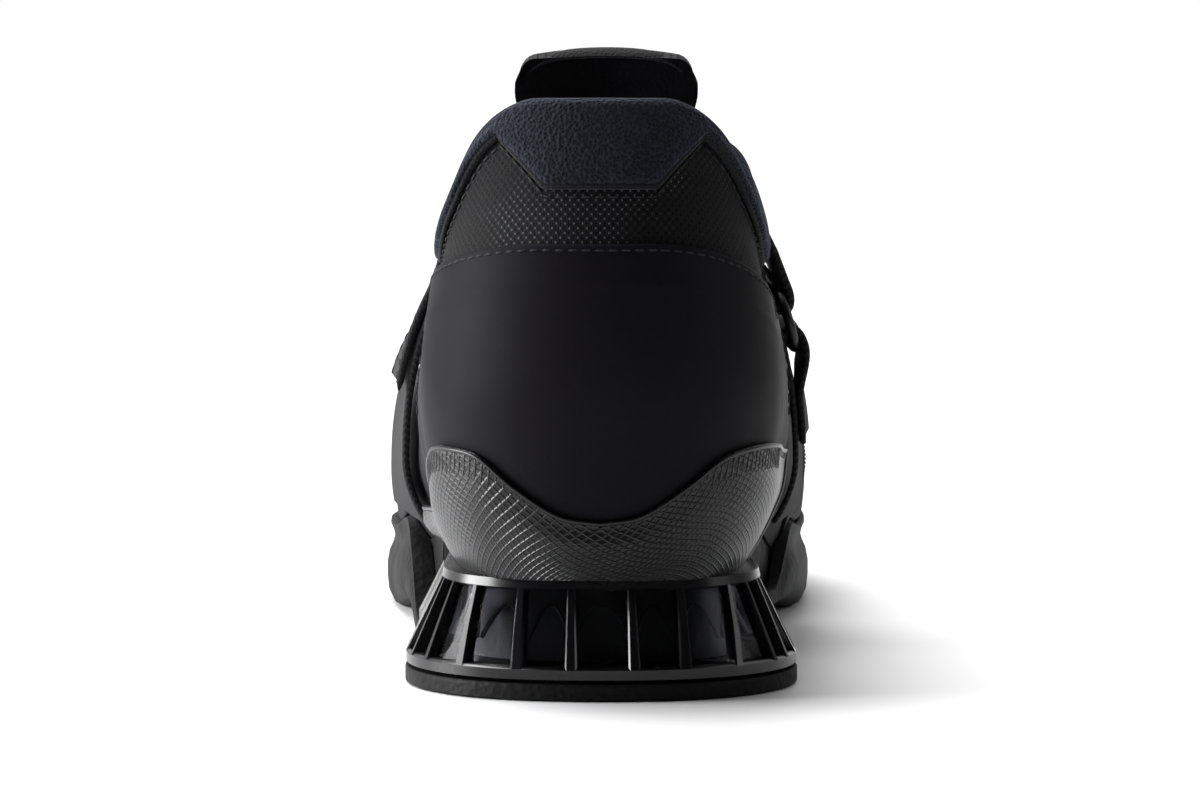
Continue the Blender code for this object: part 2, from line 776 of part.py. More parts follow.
def build_insole(finish):
    places = stations()[1:-1]

    def level(height, inset):
        def point_at(place, side):
            share, _ = along_sole(place)
            point = skin(place, 0.0, side, -WALL - inset)
            point.z = feather(share) + height
            return point

        return point_at

    loops = [
        around(level(GAP, INSOLE_INSET), places),
        around(level(INSOLE * 0.7, INSOLE_INSET), places),
        around(level(INSOLE, INSOLE_INSET + 0.0015), places),
    ]
    return closed_from_loops("insole", loops, finish)


def build_heel_counter(finish):
    """Smooth panel over the back of the upper, down behind the clip."""
    rows = 6
    end = place_of(COUNTER_END)
    side_places = places_to(end)
    grid = []
    for place in [-place for place in reversed(side_places)] + side_places[1:]:
        far = abs(place) / end
        fall = 0.0195 if place > 0 else 0.0125
        top = COUNTER_TOP - fall * ease(far, 0.1, 1.0)
        heights = [mix(top, COUNTER_FOOT, row / rows) for row in range(rows + 1)]
        grid.append([at_height(place, height, OVERLAY_GAP) for height in heights])
    return sheet("heel_counter", [grid], PANEL, 1, finish)


def build_toe_cap(finish):
    """Panel over the toe, with a rear edge that curves forward at the ridge."""
    columns = 9
    rows = 9
    grids = []
    for side in (-1, 1):
        grid = []
        for column in range(columns + 1):
            line = []
            for row in range(rows + 1):
                rise = mix(0.42, 1.0, row / rows)
                start = place_of(TOE_CAP_START + 0.012 * ease(rise, 0.4, 1.0))
                place = mix(start, 1.0, column / columns)
                line.append(skin(place, rise, side, OVERLAY_GAP))
            if side > 0:
                line.reverse()
            grid.append(line)
        grids.append(grid)
    return sheet("toe_cap", grids, PANEL, 1, finish)


def stay_outer_rise(place, side, edge):
    """The rise one stay's width down from the throat's edge."""
    start = last_point(place, edge, side)
    rise = edge
    while rise > 0.4 and (last_point(place, rise, side) - start).length < STAY_WIDTH:
        rise -= 0.004
    return rise


def build_eyestay(finish):
    """U-shaped stay round the throat."""
    rows = 3
    last = place_of(THROAT_FRONT)
    front = place_of(THROAT_FRONT + STAY_WIDTH * 0.8)
    along = [place for place in upper_places() if place_of(THROAT_TOP) + 0.001 < place <= last]
    ahead = [mix(last, front, part) for part in (0.35, 0.7, 1.0)]
    grids = []
    for side in (-1, 1):
        grid = []
        for place in along + ahead:
            over = max(place - last, 0.0) / (front - last)
            edge = edge_rise(place, side)
            foot = stay_outer_rise(min(place, last), side, edge_rise(min(place, last), side))
            foot = mix(foot, 1.0, over * over)
            line = []
            for row in range(rows + 1):
                line.append(skin(place, mix(foot, edge, row / rows), side, OVERLAY_GAP))
            if side > 0:
                line.reverse()
            grid.append(line)
        grids.append(grid)
    return sheet("eyestay", grids, PANEL, 1, finish)


def build_collar_cuff(finish):
    """Padded cuff that wraps over the collar's edge, with a chevron behind."""
    end = place_of(THROAT_TOP)
    side_places = places_to(end)
    loops = []
    for place in [-place for place in reversed(side_places)] + side_places[1:]:
        side = -1 if place < 0 else 1
        spot = abs(place)
        edge = edge_rise(spot, side)
        top = last_point(spot, edge, side)
        near = last_point(spot, edge - 0.02, side)
        up = (top - near).normalized()
        out = (skin(spot, edge, side, 0.001) - top).normalized()
        back = 1 - ease(spot * FULL_GIRTH, 0.010, 0.028)
        outer_drop = mix(CUFF_EDGE, CHEVRON_DEPTH, back)
        inner_drop = min(CUFF_INSIDE, top.z - 0.055)
        bend = OVERLAY_GAP * ease(spot, end - 0.08, end)
        outer_bed = OVERLAY_GAP + bend
        inner_bed = -WALL - OVERLAY_GAP - bend
        pad = inner_bed - CUFF_PAD * (1 - 0.92 * ease(spot, end - 0.07, end - 0.01))
        middle = (outer_bed + CUFF_SKIN + pad) / 2
        radius = (outer_bed + CUFF_SKIN - pad) / 2

        def wall(drop, depth):
            rise = rise_at_height(spot, side, top.z - drop)
            return skin(spot, rise, side, depth)

        def over(angle):
            turn = math.radians(angle)
            lift = OVERLAY_GAP + CROWN * math.sin(turn)
            return top + out * (middle + radius * math.cos(turn)) + up * lift

        outside = [
            wall(outer_drop, outer_bed + CUFF_SKIN),
            wall(outer_drop / 2, outer_bed + CUFF_SKIN),
            over(8),
            over(50),
            over(90),
            over(130),
            over(172),
            wall(inner_drop * 0.45, pad),
            wall(inner_drop * 0.85, pad * 0.8 + inner_bed * 0.2),
            wall(inner_drop, pad * 0.15 + inner_bed * 0.85),
        ]
        bed = [
            wall(outer_drop, outer_bed),
            wall(outer_drop / 2, outer_bed),
            top + out * outer_bed,
            top + out * outer_bed + up * OVERLAY_GAP,
            top + out * (outer_bed + inner_bed) / 2 + up * OVERLAY_GAP,
            top + out * inner_bed + up * OVERLAY_GAP,
            top + out * inner_bed,
            wall(inner_drop * 0.45, inner_bed),
            wall(inner_drop * 0.85, inner_bed),
            wall(inner_drop, inner_bed),
        ]
        loops.append(outside + list(reversed(bed)))
    return closed_from_loops("collar_cuff", loops, finish)


def build_tongue(finish):
    """Padded tongue on a line from the throat's front end to above the collar."""
    loops = []
    steps = 8
    for index, row in enumerate(TONGUE):
        middle = Vector((TONGUE_SHIFT, row.along, row.height * TONGUE_HEIGHT))
        before = TONGUE[max(index - 1, 0)]
        after = TONGUE[min(index + 1, len(TONGUE) - 1)]
        up = Vector((0, after.along - before.along, (after.height - before.height) * TONGUE_HEIGHT))
        out = Vector((0, up.z, -up.y)).normalized()
        half = row.half * TONGUE_WIDTH
        thick = row.thick * TONGUE_THICKNESS
        front = []
        back = []
        for step in range(steps + 1):
            across = mix(-1.0, 1.0, step / steps)
            fall = row.drop * across * across
            body = thick * (1 - 0.75 * abs(across) ** 3)
            front.append(middle + Vector((half * across, 0, 0)) - out * fall)
            back.append(middle + Vector((half * across, 0, 0)) - out * (fall + body))
        loops.append(front + list(reversed(back)))
    return closed_from_loops("tongue", loops, finish)


def eyelet_spot(row, side):
    """Place and rise of one eyelet."""
    along = mix(THROAT_TOP + 0.013, THROAT_FRONT - 0.014, row / (EYELET_ROWS - 1))
    place = place_of(along)
    edge = edge_rise(place, side)
    start = last_point(place, edge, side)
    rise = edge
    while (last_point(place, rise, side) - start).length < EYELET_EDGE:
        rise -= 0.002
    return place, rise


def build_eyelet(row, side, finish):
    """A flat ring on the stay."""
    place, rise = eyelet_spot(row, side)
    foot = OVERLAY_GAP + PANEL + OVERLAY_GAP
    centre = skin(place, rise, side, foot)
    normal = (skin(place, rise, side, foot + 0.001) - centre).normalized()
    turn = normal.to_track_quat("Z", "Y")
    sides = 6
    profile = (
        (EYELET_RADIUS, 0),
        (EYELET_RADIUS, EYELET_HEIGHT * 0.5),
        (EYELET_HOLE, EYELET_HEIGHT),
        (EYELET_HOLE, 0),
    )
    bm = bmesh.new()
    rings = []
    for index in range(sides):
        angle = index / sides * math.tau
        arm = Vector((math.cos(angle), math.sin(angle), 0))
        ring = [centre + turn @ (arm * radius + Vector((0, 0, height))) for radius, height in profile]
        rings.append([bm.verts.new(point) for point in ring])
    for index, here in enumerate(rings):
        ahead = rings[(index + 1) % sides]
        for corner in range(len(profile)):
            after = (corner + 1) % len(profile)
            bm.faces.new((here[corner], here[after], ahead[after], ahead[corner]))
    bmesh.ops.recalc_face_normals(bm, faces=bm.faces)
    side_name = "lateral" if side < 0 else "medial"
    name = f"eyelet_{side_name}_{row + 1}"
    mesh = bpy.data.meshes.new(name)
    bm.to_mesh(mesh)
    bm.free()
    return add_object(name, mesh, finish)


def lace_strand(bm, start, end):
    """One flat strand of lace from eyelet to eyelet, over the tongue."""
    (start_place, start_across), (end_place, end_across) = start, end
    rings = []
    for step in range(LACE_STEPS + 1):
        part = step / LACE_STEPS
        place = mix(start_place, end_place, part)
        across = mix(start_across, end_across, part)
        side = -1 if across < 0 else 1
        seat = LACE_SEAT + LACE_THICKNESS / 2
        middle = skin(place, 1 - abs(across), side, seat)
        normal = (skin(place, 1 - abs(across), side, seat + 0.001) - middle).normalized()
        rings.append((middle, normal))
    run = (rings[-1][0] - rings[0][0]).normalized()
    corners = []
    for index, (middle, normal) in enumerate(rings):
        if index == 0:
            middle = middle - (rings[1][0] - middle).normalized() * LACE_WIDTH * 0.45
        if index == LACE_STEPS:
            middle = middle + (middle - rings[-2][0]).normalized() * LACE_WIDTH * 0.45
        wide = run.cross(normal).normalized() * LACE_WIDTH / 2
        thick = normal * LACE_THICKNESS / 2
        ring = (middle - wide - thick, middle + wide - thick, middle + wide + thick, middle - wide + thick)
        corners.append([bm.verts.new(point) for point in ring])
    for here, ahead in zip(corners, corners[1:]):
        for index in range(4):
            after = (index + 1) % 4
            bm.faces.new((here[index], here[after], ahead[after], ahead[index]))
    bm.faces.new(list(reversed(corners[0])))
    bm.faces.new(corners[-1])


def build_laces(finish):
    """Crossed strands from the bottom eyelets to the top ones, joined where they cross."""
    spots = []
    for row in range(EYELET_ROWS):
        pair = []
        for side in (-1, 1):
            place, rise = eyelet_spot(row, side)
            pair.append((place, side * (1 - rise)))
        spots.append(pair)
    strands = [(spots[-1][0], spots[-1][1])]
    for upper, lower in zip(spots, spots[1:]):
        strands.append((upper[0], lower[1]))
        strands.append((upper[1], lower[0]))
    pieces = []
    for name, group in (("laces", strands[:1]), ("lace_strands", strands[1:])):
        bm = bmesh.new()
        for start, end in group:
            lace_strand(bm, start, end)
        bmesh.ops.recalc_face_normals(bm, faces=bm.faces)
        mesh = bpy.data.meshes.new(name)
        bm.to_mesh(mesh)
        bm.free()
        pieces.append(add_object(name, mesh, finish))
    laces, rest = pieces
    rest.hide_render = True
    rest.display_type = "WIRE"
    join = laces.modifiers.new("Crossings", "BOOLEAN")
    join.operation = "UNION"
    join.use_self = True
    join.object = rest
    return laces


def strap_seat(across):
    """How far outside the skin the strap's underside lies: higher over the laces."""
    over = 1 - ease(abs(across), LACED_SHARE, LACED_SHARE + LACED_FALL)
    return mix(2 * OVERLAY_GAP + PANEL, STRAP_OVER_LACES, over)


def folded_band(name, distances, foot, fold_height, tip, tip_lift, thickness, finish, steps, back):
    """A band that goes up from its foot, over to a bar, round it and back over itself.

    foot and tip are a side and a height on that side. The bar is on the medial side.
    """
    grid = []
    for distance in distances:
        place = place_of(distance)
        foot_side, foot_height = foot
        tip_side, tip_height = tip
        start = foot_side * (1 - rise_at_height(place, foot_side, foot_height))
        fold = 1 - rise_at_height(place, 1, fold_height)
        end = tip_side * (1 - rise_at_height(place, tip_side, tip_height))
        line = []
        for step in range(steps + 1):
            across = mix(start, fold, step / steps)
            side = -1 if across < 0 else 1
            line.append(skin(place, 1 - abs(across), side, strap_seat(across) + thickness / 2))
        away = 1 if fold > start else -1
        for angle in (-50, 0, 50):
            turn = math.radians(angle)
            reach = fold + away * STRAP_FOLD * math.cos(turn) / 0.075
            lift = strap_seat(fold) + thickness / 2 + STRAP_FOLD * (1 + math.sin(turn))
            line.append(skin(place, 1 - abs(reach), 1, lift))
        for step in range(back + 1):
            part = step / back
            across = mix(fold, end, part)
            side = -1 if across < 0 else 1
            apart = mix(2 * STRAP_FOLD, thickness + GAP, ease(abs(across - fold), 0.0, 0.18))
            lift = strap_seat(across) + thickness / 2 + apart + tip_lift * ease(part, 0.8, 1.0)
            line.append(skin(place, 1 - abs(across), side, lift))
        grid.append(line)
    return sheet(name, [grid], thickness, 0, finish)


def strap_stations(width, count):
    first = STRAP_MIDDLE - width / 2
    return [first + width * step / (count - 1) for step in range(count)]


def build_strap(finish):
    """From the lateral sole edge over the instep, round the ring's bar and back to the lateral side."""
    distances = strap_stations(STRAP_WIDTH, STRAP_COLUMNS)
    return folded_band("strap", distances, (-1, STRAP_FOOT), RING_HEIGHT, (-1, STRAP_TIP), TIP_LIFT,
                       STRAP_THICKNESS, finish, 20, 18)


def build_ring_anchor(finish):
    """Webbing from the medial sole edge up to the ring's lower bar and back down over itself."""
    distances = strap_stations(STRAP_WIDTH, STRAP_COLUMNS)
    return folded_band("ring_anchor", distances, (1, STRAP_FOOT), RING_HEIGHT - RING_DEPTH, (1, ANCHOR_TIP),
                       0.0, WEBBING_THICKNESS, finish, 6, 5)


def build_ring(finish):
    """Rectangular ring that joins the strap and its webbing."""

    def bar_point(distance, height, thickness):
        place = place_of(distance)
        rise = rise_at_height(place, 1, height)
        return skin(place, rise, 1, strap_seat(1 - rise) + thickness / 2 + STRAP_FOLD)

    along_bar = strap_stations(STRAP_WIDTH, STRAP_COLUMNS)
    upper = [bar_point(distance, RING_HEIGHT, STRAP_THICKNESS) for distance in along_bar]
    lower = [bar_point(distance, RING_HEIGHT - RING_DEPTH, WEBBING_THICKNESS) for distance in along_bar]
    path = list(upper)
    rear = STRAP_MIDDLE - RING_LENGTH / 2
    front = STRAP_MIDDLE + RING_LENGTH / 2
    for end, turns in ((front, (0.22, 0.78)), (rear, (0.78, 0.22))):
        top = bar_point(end, RING_HEIGHT, STRAP_THICKNESS)
        foot = bar_point(end, RING_HEIGHT - RING_DEPTH, WEBBING_THICKNESS)
        path += [top.lerp(foot, turn) for turn in turns]
        if end == front:
            path += reversed(lower)
    out = (upper[-1] - upper[0]).cross(lower[2] - upper[2]).normalized()
    sides = 6
    bm = bmesh.new()
    rings = []
    for index, point in enumerate(path):
        run = (path[(index + 1) % len(path)] - path[index - 1]).normalized()
        across = run.cross(out).normalized()
        ring = []
        for step in range(sides):
            angle = math.tau * (step + 0.5) / sides
            ring.append(bm.verts.new(point + (across * math.cos(angle) + out * math.sin(angle)) * RING_BAR))
        rings.append(ring)
    for index, here in enumerate(rings):
        ahead = rings[(index + 1) % len(rings)]
        for step in range(sides):
            after = (step + 1) % sides
            bm.faces.new((here[step], here[after], ahead[after], ahead[step]))
    bmesh.ops.recalc_face_normals(bm, faces=bm.faces)
    mesh = bpy.data.meshes.new("strap_ring")
    bm.to_mesh(mesh)
    bm.free()
    return add_object("strap_ring", mesh, finish)


def stand_on_origin(shoe):
    """Move the shoe so that the origin is on the floor under the middle of its box."""
    bpy.context.view_layer.update()
    graph = bpy.context.evaluated_depsgraph_get()
    points = []
    for piece in shoe.children:
        if not piece.hide_render:
            solid = piece.evaluated_get(graph)
            points += [solid.matrix_world @ vertex.co for vertex in solid.data.vertices]
    low = Vector([min(point[axis] for point in points) for axis in range(3)])
    high = Vector([max(point[axis] for point in points) for axis in range(3)])
    shoe.location = (-(low.x + high.x) / 2, -(low.y + high.y) / 2, -low.z)


def main():
    for leftover in list(bpy.data.objects):
        bpy.data.objects.remove(leftover, do_unlink=True)
    shoe = bpy.data.objects.new(SHOE, None)
    bpy.context.scene.collection.objects.link(shoe)
    rubber = material("rubber", (0.012, 0.012, 0.013), 0.72)
    hard = material("smoky_plastic", (0.02, 0.02, 0.023), 0.22)
    gloss = material("gloss_plastic", (0.010, 0.010, 0.012), 0.28)
    foam = material("foam", (0.02, 0.02, 0.022), 0.8)
    knit = material("knit", (0.018, 0.018, 0.022), 0.85)
    lining = material("lining", (0.022, 0.025, 0.032), 0.95)
    smooth_panel = material("smooth_panel", (0.010, 0.009, 0.011), 0.5)
    cord = material("lace", (0.012, 0.012, 0.014), 0.9)
    webbing = material("webbing", (0.012, 0.012, 0.014), 0.8)
    metal = material("eyelet", (0.02, 0.02, 0.022), 0.35, 0.6)
    build_outsole(rubber)
    build_heel_cage(hard)
    build_heel_clip(gloss)
    build_midsole(foam)
    build_upper(knit)
    build_insole(lining)
    build_tongue(lining)
    build_heel_counter(smooth_panel)
    build_collar_cuff(lining)
    build_eyestay(smooth_panel)
    build_toe_cap(smooth_panel)
    for row in range(EYELET_ROWS):
        for side in (-1, 1):
            build_eyelet(row, side, metal)
    build_laces(cord)
    build_strap(webbing)
    build_ring(hard)
    build_ring_anchor(webbing)
    stand_on_origin(shoe)


SHOE = "shoe"
main()
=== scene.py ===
"""Dressed weightlifting shoe for the left foot, standing empty on a pale floor.

Metres, +Z up, +Y to the toe and +X to the medial side, as in the frame. The last's functions
are the frame's own, so that every piece lies where its solid is.
"""

import math

import bmesh
import bpy
import numpy as np
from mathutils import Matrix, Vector


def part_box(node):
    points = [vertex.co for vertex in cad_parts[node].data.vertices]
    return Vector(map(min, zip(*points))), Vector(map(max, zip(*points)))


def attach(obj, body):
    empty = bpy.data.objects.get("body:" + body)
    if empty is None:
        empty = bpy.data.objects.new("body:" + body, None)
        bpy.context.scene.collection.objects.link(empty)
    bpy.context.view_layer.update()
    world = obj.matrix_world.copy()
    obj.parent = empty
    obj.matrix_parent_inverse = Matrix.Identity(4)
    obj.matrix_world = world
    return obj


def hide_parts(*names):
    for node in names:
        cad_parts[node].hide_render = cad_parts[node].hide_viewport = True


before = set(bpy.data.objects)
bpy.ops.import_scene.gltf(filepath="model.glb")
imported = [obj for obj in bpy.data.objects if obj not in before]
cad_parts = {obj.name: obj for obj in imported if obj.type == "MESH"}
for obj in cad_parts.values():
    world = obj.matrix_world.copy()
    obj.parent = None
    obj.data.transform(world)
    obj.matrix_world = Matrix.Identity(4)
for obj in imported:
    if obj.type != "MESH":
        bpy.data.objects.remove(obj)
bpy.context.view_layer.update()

# Sizes of the last and of the pieces, mostly as in the frame. A RUN is a distance from the heel
SOLE_LENGTH = 0.294
HEEL_WIDTH = 0.0768
ANKLE_WIDTH = 0.065
BALL_WIDTH = 0.101
COLLAR_HEIGHT = 0.1280
INSTEP_HEIGHT = 0.108
BALL_HEIGHT = 0.074
TOE_HEIGHT = 0.058
HEEL_STACK = 0.031
FOREFOOT_STACK = 0.0125
TOE_SPRING = 0.009
ARCH_RISE = 0.0050
RIDGE_SHIFT = 0.003
HEEL_ROUND = 0.042
TOE_ROUND = 0.060
WALL = 0.0022
GAP = 0.0003
OVERLAY_GAP = 0.0005
PANEL = 0.0012
OUTSOLE_HEEL_WIDTH = 0.088
OUTSOLE_BALL_WIDTH = 0.1053
RUBBER = 0.0039
SIDEWALL_HEIGHT = 0.0205
FLOOR_INSET = 0.003
WAIST_START = 0.1200
SIDEWALL_START = 0.41
SIDEWALL_MEDIAL_START = 0.47
SIDEWALL_RUN = 0.10
MIDSOLE_HEEL = 0.0047
CAGE_TOP = HEEL_STACK - MIDSOLE_HEEL - GAP
BASE_RIM = 0.0033
FLANGE = 0.0027
RIB_PITCH = 0.0095
FLANGE_INSET = 0.0095
CAGE_LATERAL_END = 0.116
CAGE_MEDIAL_END = 0.096
CLIP_THICKNESS = 0.0024
CLIP_VALLEY = 0.0397
CLIP_PEAK = 0.0550
CLIP_LATERAL_RUN = 0.112
CLIP_MEDIAL_TOP_RUN = 0.070
CLIP_MEDIAL_FOOT_RUN = 0.048
COUNTER_RUN = 0.078
COUNTER_TOP = 0.0994
COUNTER_FOOT = 0.034
CUFF_PAD = 0.0045
CUFF_SKIN = 0.0016
CUFF_INSIDE = 0.026
CUFF_DROP = 0.0024
CHEVRON_DROP = 0.0162
TOE_CAP_START = 0.243
MESH_END = 0.088
THROAT_TOP = 0.092
THROAT_FRONT = 0.206
THROAT_HALF_TOP = 0.0215
THROAT_HALF_FRONT = 0.0125
STAY_WIDTH = 0.017
TONGUE_HEIGHT = 0.1402
TONGUE_WIDTH = 0.046
TONGUE_THICKNESS = 0.0065
EYELET_ROWS = 6
EYELET_RADIUS = 0.0034
EYELET_HOLE = 0.0019
EYELET_EDGE = 0.0065
LACE_WIDTH = 0.0052
LACE_THICKNESS = 0.0016
LACE_SEAT = 0.0036
LACED_SHARE = 0.27
LACED_FALL = 0.14
STRAP_MIDDLE = 0.134
STRAP_WIDTH = 0.038
STRAP_THICKNESS = 0.0018
STRAP_OVER_LACES = 0.0062
STRAP_FOLD = 0.0026
STRAP_FOOT = 0.029
STRAP_TIP = 0.058
TIP_LIFT = 0.0005
RING_BAR = 0.0013
RING_LENGTH = 0.045
RING_DEPTH = 0.0125
RING_HEIGHT = 0.080
WEBBING_THICKNESS = 0.0014
HALF_GIRTH = 0.075
STITCH = 0.0021
STITCH_GAP = 0.0008
BAND_START = 0.158
BAND_END = 0.246
VENT_START = 0.176
VENT_PITCH = 0.0062
VENT_LIFT = 0.0245
VENT_ROW = 0.0052
ANCHOR_TIP = 0.046
WIDEST_RISE = 0.34
HEEL_TURN = HEEL_ROUND * 1.4 / SOLE_LENGTH
TOE_TURN = TOE_ROUND * 1.4 / SOLE_LENGTH
FULL_GIRTH = SOLE_LENGTH + 0.4 * (HEEL_ROUND + TOE_ROUND)


def curve(keys, values):
    """Smooth function through values at keys, held at its ends."""
    keys = np.array(keys, float)
    values = np.array(values, float)
    slopes = np.empty_like(values)
    slopes[1:-1] = (values[2:] - values[:-2]) / (keys[2:] - keys[:-2])
    slopes[0] = (values[1] - values[0]) / (keys[1] - keys[0])
    slopes[-1] = (values[-1] - values[-2]) / (keys[-1] - keys[-2])

    def at(place):
        place = np.clip(place, keys[0], keys[-1])
        index = np.clip(np.searchsorted(keys, place) - 1, 0, len(keys) - 2)
        span = keys[index + 1] - keys[index]
        t = (place - keys[index]) / span
        start = values[index] * (2 * t**3 - 3 * t**2 + 1) + slopes[index] * span * (t**3 - 2 * t**2 + t)
        return start + values[index + 1] * (3 * t**2 - 2 * t**3) + slopes[index + 1] * span * (t**3 - t**2)

    return at


def columns_of(names, rows):
    """One smooth function for each column of a table, over its first column."""
    rows = np.array(rows)
    return {name: curve(rows[:, 0], rows[:, index + 1]) for index, name in enumerate(names.split())}


LAST = columns_of("lateral medial widest top tuck square ankle", [
    (0.00, 0.500 * HEEL_WIDTH, 0.500 * HEEL_WIDTH, 0.52 * COLLAR_HEIGHT, 1.08 * COLLAR_HEIGHT, 0.22, 2.3, 1.0),
    (0.10, 0.500 * HEEL_WIDTH, 0.495 * HEEL_WIDTH, 0.52 * COLLAR_HEIGHT, 1.08 * COLLAR_HEIGHT, 0.22, 2.3, 1.0),
    (0.20, 0.515 * HEEL_WIDTH, 0.512 * HEEL_WIDTH, 0.49 * COLLAR_HEIGHT, 1.05 * COLLAR_HEIGHT, 0.20, 2.3, 1.0),
    (0.29, 0.540 * HEEL_WIDTH, 0.545 * HEEL_WIDTH, 0.43 * COLLAR_HEIGHT, 1.13 * INSTEP_HEIGHT, 0.17, 2.3, 0.7),
    (0.38, 0.430 * BALL_WIDTH, 0.420 * BALL_WIDTH, 0.41 * INSTEP_HEIGHT, 1.00 * INSTEP_HEIGHT, 0.14, 2.15, 0.0),
    (0.46, 0.452 * BALL_WIDTH, 0.428 * BALL_WIDTH, 0.36 * INSTEP_HEIGHT, 0.91 * INSTEP_HEIGHT, 0.11, 2.15, 0.0),
    (0.56, 0.490 * BALL_WIDTH, 0.452 * BALL_WIDTH, 0.49 * BALL_HEIGHT, 1.14 * BALL_HEIGHT, 0.08, 2.5, 0.0),
    (0.66, 0.513 * BALL_WIDTH, 0.482 * BALL_WIDTH, 0.45 * BALL_HEIGHT, 1.00 * BALL_HEIGHT, 0.06, 2.5, 0.0),
    (0.76, 0.500 * BALL_WIDTH, 0.480 * BALL_WIDTH, 0.53 * TOE_HEIGHT, 1.13 * TOE_HEIGHT, 0.05, 2.4, 0.0),
    (0.87, 0.440 * BALL_WIDTH, 0.455 * BALL_WIDTH, 0.55 * TOE_HEIGHT, 1.00 * TOE_HEIGHT, 0.05, 2.3, 0.0),
    (1.00, 0.345 * BALL_WIDTH, 0.420 * BALL_WIDTH, 0.58 * TOE_HEIGHT, 0.86 * TOE_HEIGHT, 0.05, 2.2, 0.0),
])
END_CURVES = columns_of("heel toe", [
    (-0.30, 0.0090, 0.0095),
    (0.00, 0.0056, 0.0076),
    (0.20, 0.0004, 0.0068),
    (0.36, -0.0021, 0.0085),
    (0.55, 0.0000, 0.0150),
    (0.80, 0.0085, 0.0280),
    (1.05, 0.0155, 0.0440),
])
COLLAR_END = 0.36
COLLAR = columns_of("lateral medial", [
    (0.000, 1.000, 1.000),
    (0.015, 0.995, 0.995),
    (0.045, 0.945, 0.945),
    (0.090, 0.845, 0.850),
    (0.150, 0.772, 0.775),
    (0.210, 0.782, 0.795),
    (0.270, 0.838, 0.888),
    (0.320, 0.880, 0.932),
    (0.360, 0.960, 0.990),
])
OUTLINE = columns_of("lateral medial", [
    (share, lateral * width, medial * width) for share, lateral, medial, width in (
        (0.00, 0.500, 0.500, OUTSOLE_HEEL_WIDTH),
        (0.12, 0.500, 0.500, OUTSOLE_HEEL_WIDTH),
        (0.22, 0.495, 0.470, OUTSOLE_HEEL_WIDTH),
        (0.31, 0.490, 0.410, OUTSOLE_HEEL_WIDTH),
        (0.39, 0.498, 0.385, OUTSOLE_HEEL_WIDTH),
        (0.46, 0.445, 0.380, OUTSOLE_BALL_WIDTH),
        (0.54, 0.478, 0.435, OUTSOLE_BALL_WIDTH),
        (0.62, 0.508, 0.468, OUTSOLE_BALL_WIDTH),
        (0.70, 0.521, 0.483, OUTSOLE_BALL_WIDTH),
        (0.80, 0.480, 0.472, OUTSOLE_BALL_WIDTH),
        (0.90, 0.425, 0.455, OUTSOLE_BALL_WIDTH),
        (1.00, 0.350, 0.430, OUTSOLE_BALL_WIDTH),
    )
])
CLIP_EDGE = columns_of("lateral medial", [
    (0.000, 0.00, 0.00),
    (0.008, 0.10, 0.10),
    (0.018, 0.50, 0.50),
    (0.027, 0.91, 0.88),
    (0.036, 1.00, 1.00),
    (0.048, 0.93, 1.00),
    (0.066, 0.30, 0.88),
    (0.085, -0.12, 0.70),
    (0.130, -0.45, 0.40),
])
TONGUE_ROWS = (
    (0.2200, 0.440, 0.38, 0.0045, 0.45),
    (0.2000, 0.490, 0.46, 0.0062, 0.55),
    (0.1700, 0.570, 0.50, 0.0078, 0.75),
    (0.1400, 0.662, 0.53, 0.0100, 0.90),
    (0.1180, 0.740, 0.51, 0.0115, 1.00),
    (0.1040, 0.806, 0.40, 0.0120, 1.05),
    (0.0990, 0.880, 0.39, 0.0075, 1.05),
    (0.0940, 0.950, 0.465, 0.0070, 1.05),
    (0.0915, 1.000, 0.455, 0.0060, 0.80),
)


def ease(value, low, high):
    t = np.clip((value - low) / (high - low), 0.0, 1.0)
    return t * t * (3 - 2 * t)


def mix(a, b, t):
    return a + (b - a) * t


def points(x, y, z):
    return np.stack(np.broadcast_arrays(x, y, z), axis=-1).astype(float)


def unit(vectors):
    return vectors / np.maximum(np.linalg.norm(vectors, axis=-1, keepdims=True), 1e-12)


def ground(share):
    waist = WAIST_START / SOLE_LENGTH
    arch = ARCH_RISE * ease(share, waist, waist + 0.05) * (1 - ease(share, 0.50, 0.62))
    return arch + TOE_SPRING * ease(share, 0.76, 1.10) / ease(1.0, 0.76, 1.10)


def feather(share):
    drop = ease(share, 0.30, 0.64)
    return mix(HEEL_STACK, FOREFOOT_STACK, drop) + ground(share) * ease(share, 0.6, 0.8)


def along(place):
    """Share of the sole's length and roundness of its end, at a place from heel 0 to toe 1."""
    heel = np.clip(place / HEEL_TURN, 0, 1) * np.pi / 2
    toe = np.clip((1 - place) / TOE_TURN, 0, 1) * np.pi / 2
    part = (place - HEEL_TURN) / (1 - TOE_TURN - HEEL_TURN)
    share = mix(HEEL_ROUND / SOLE_LENGTH, 1 - TOE_ROUND / SOLE_LENGTH, part)
    share = np.where(place < HEEL_TURN, HEEL_ROUND * (1 - np.cos(heel)) / SOLE_LENGTH, share)
    share = np.where(place > 1 - TOE_TURN, 1 - TOE_ROUND * (1 - np.cos(toe)) / SOLE_LENGTH, share)
    turn = np.cos(np.minimum(heel, toe))
    return share, np.maximum(1 - np.abs(turn) ** 2.3, 0) ** (1 / 2.3)


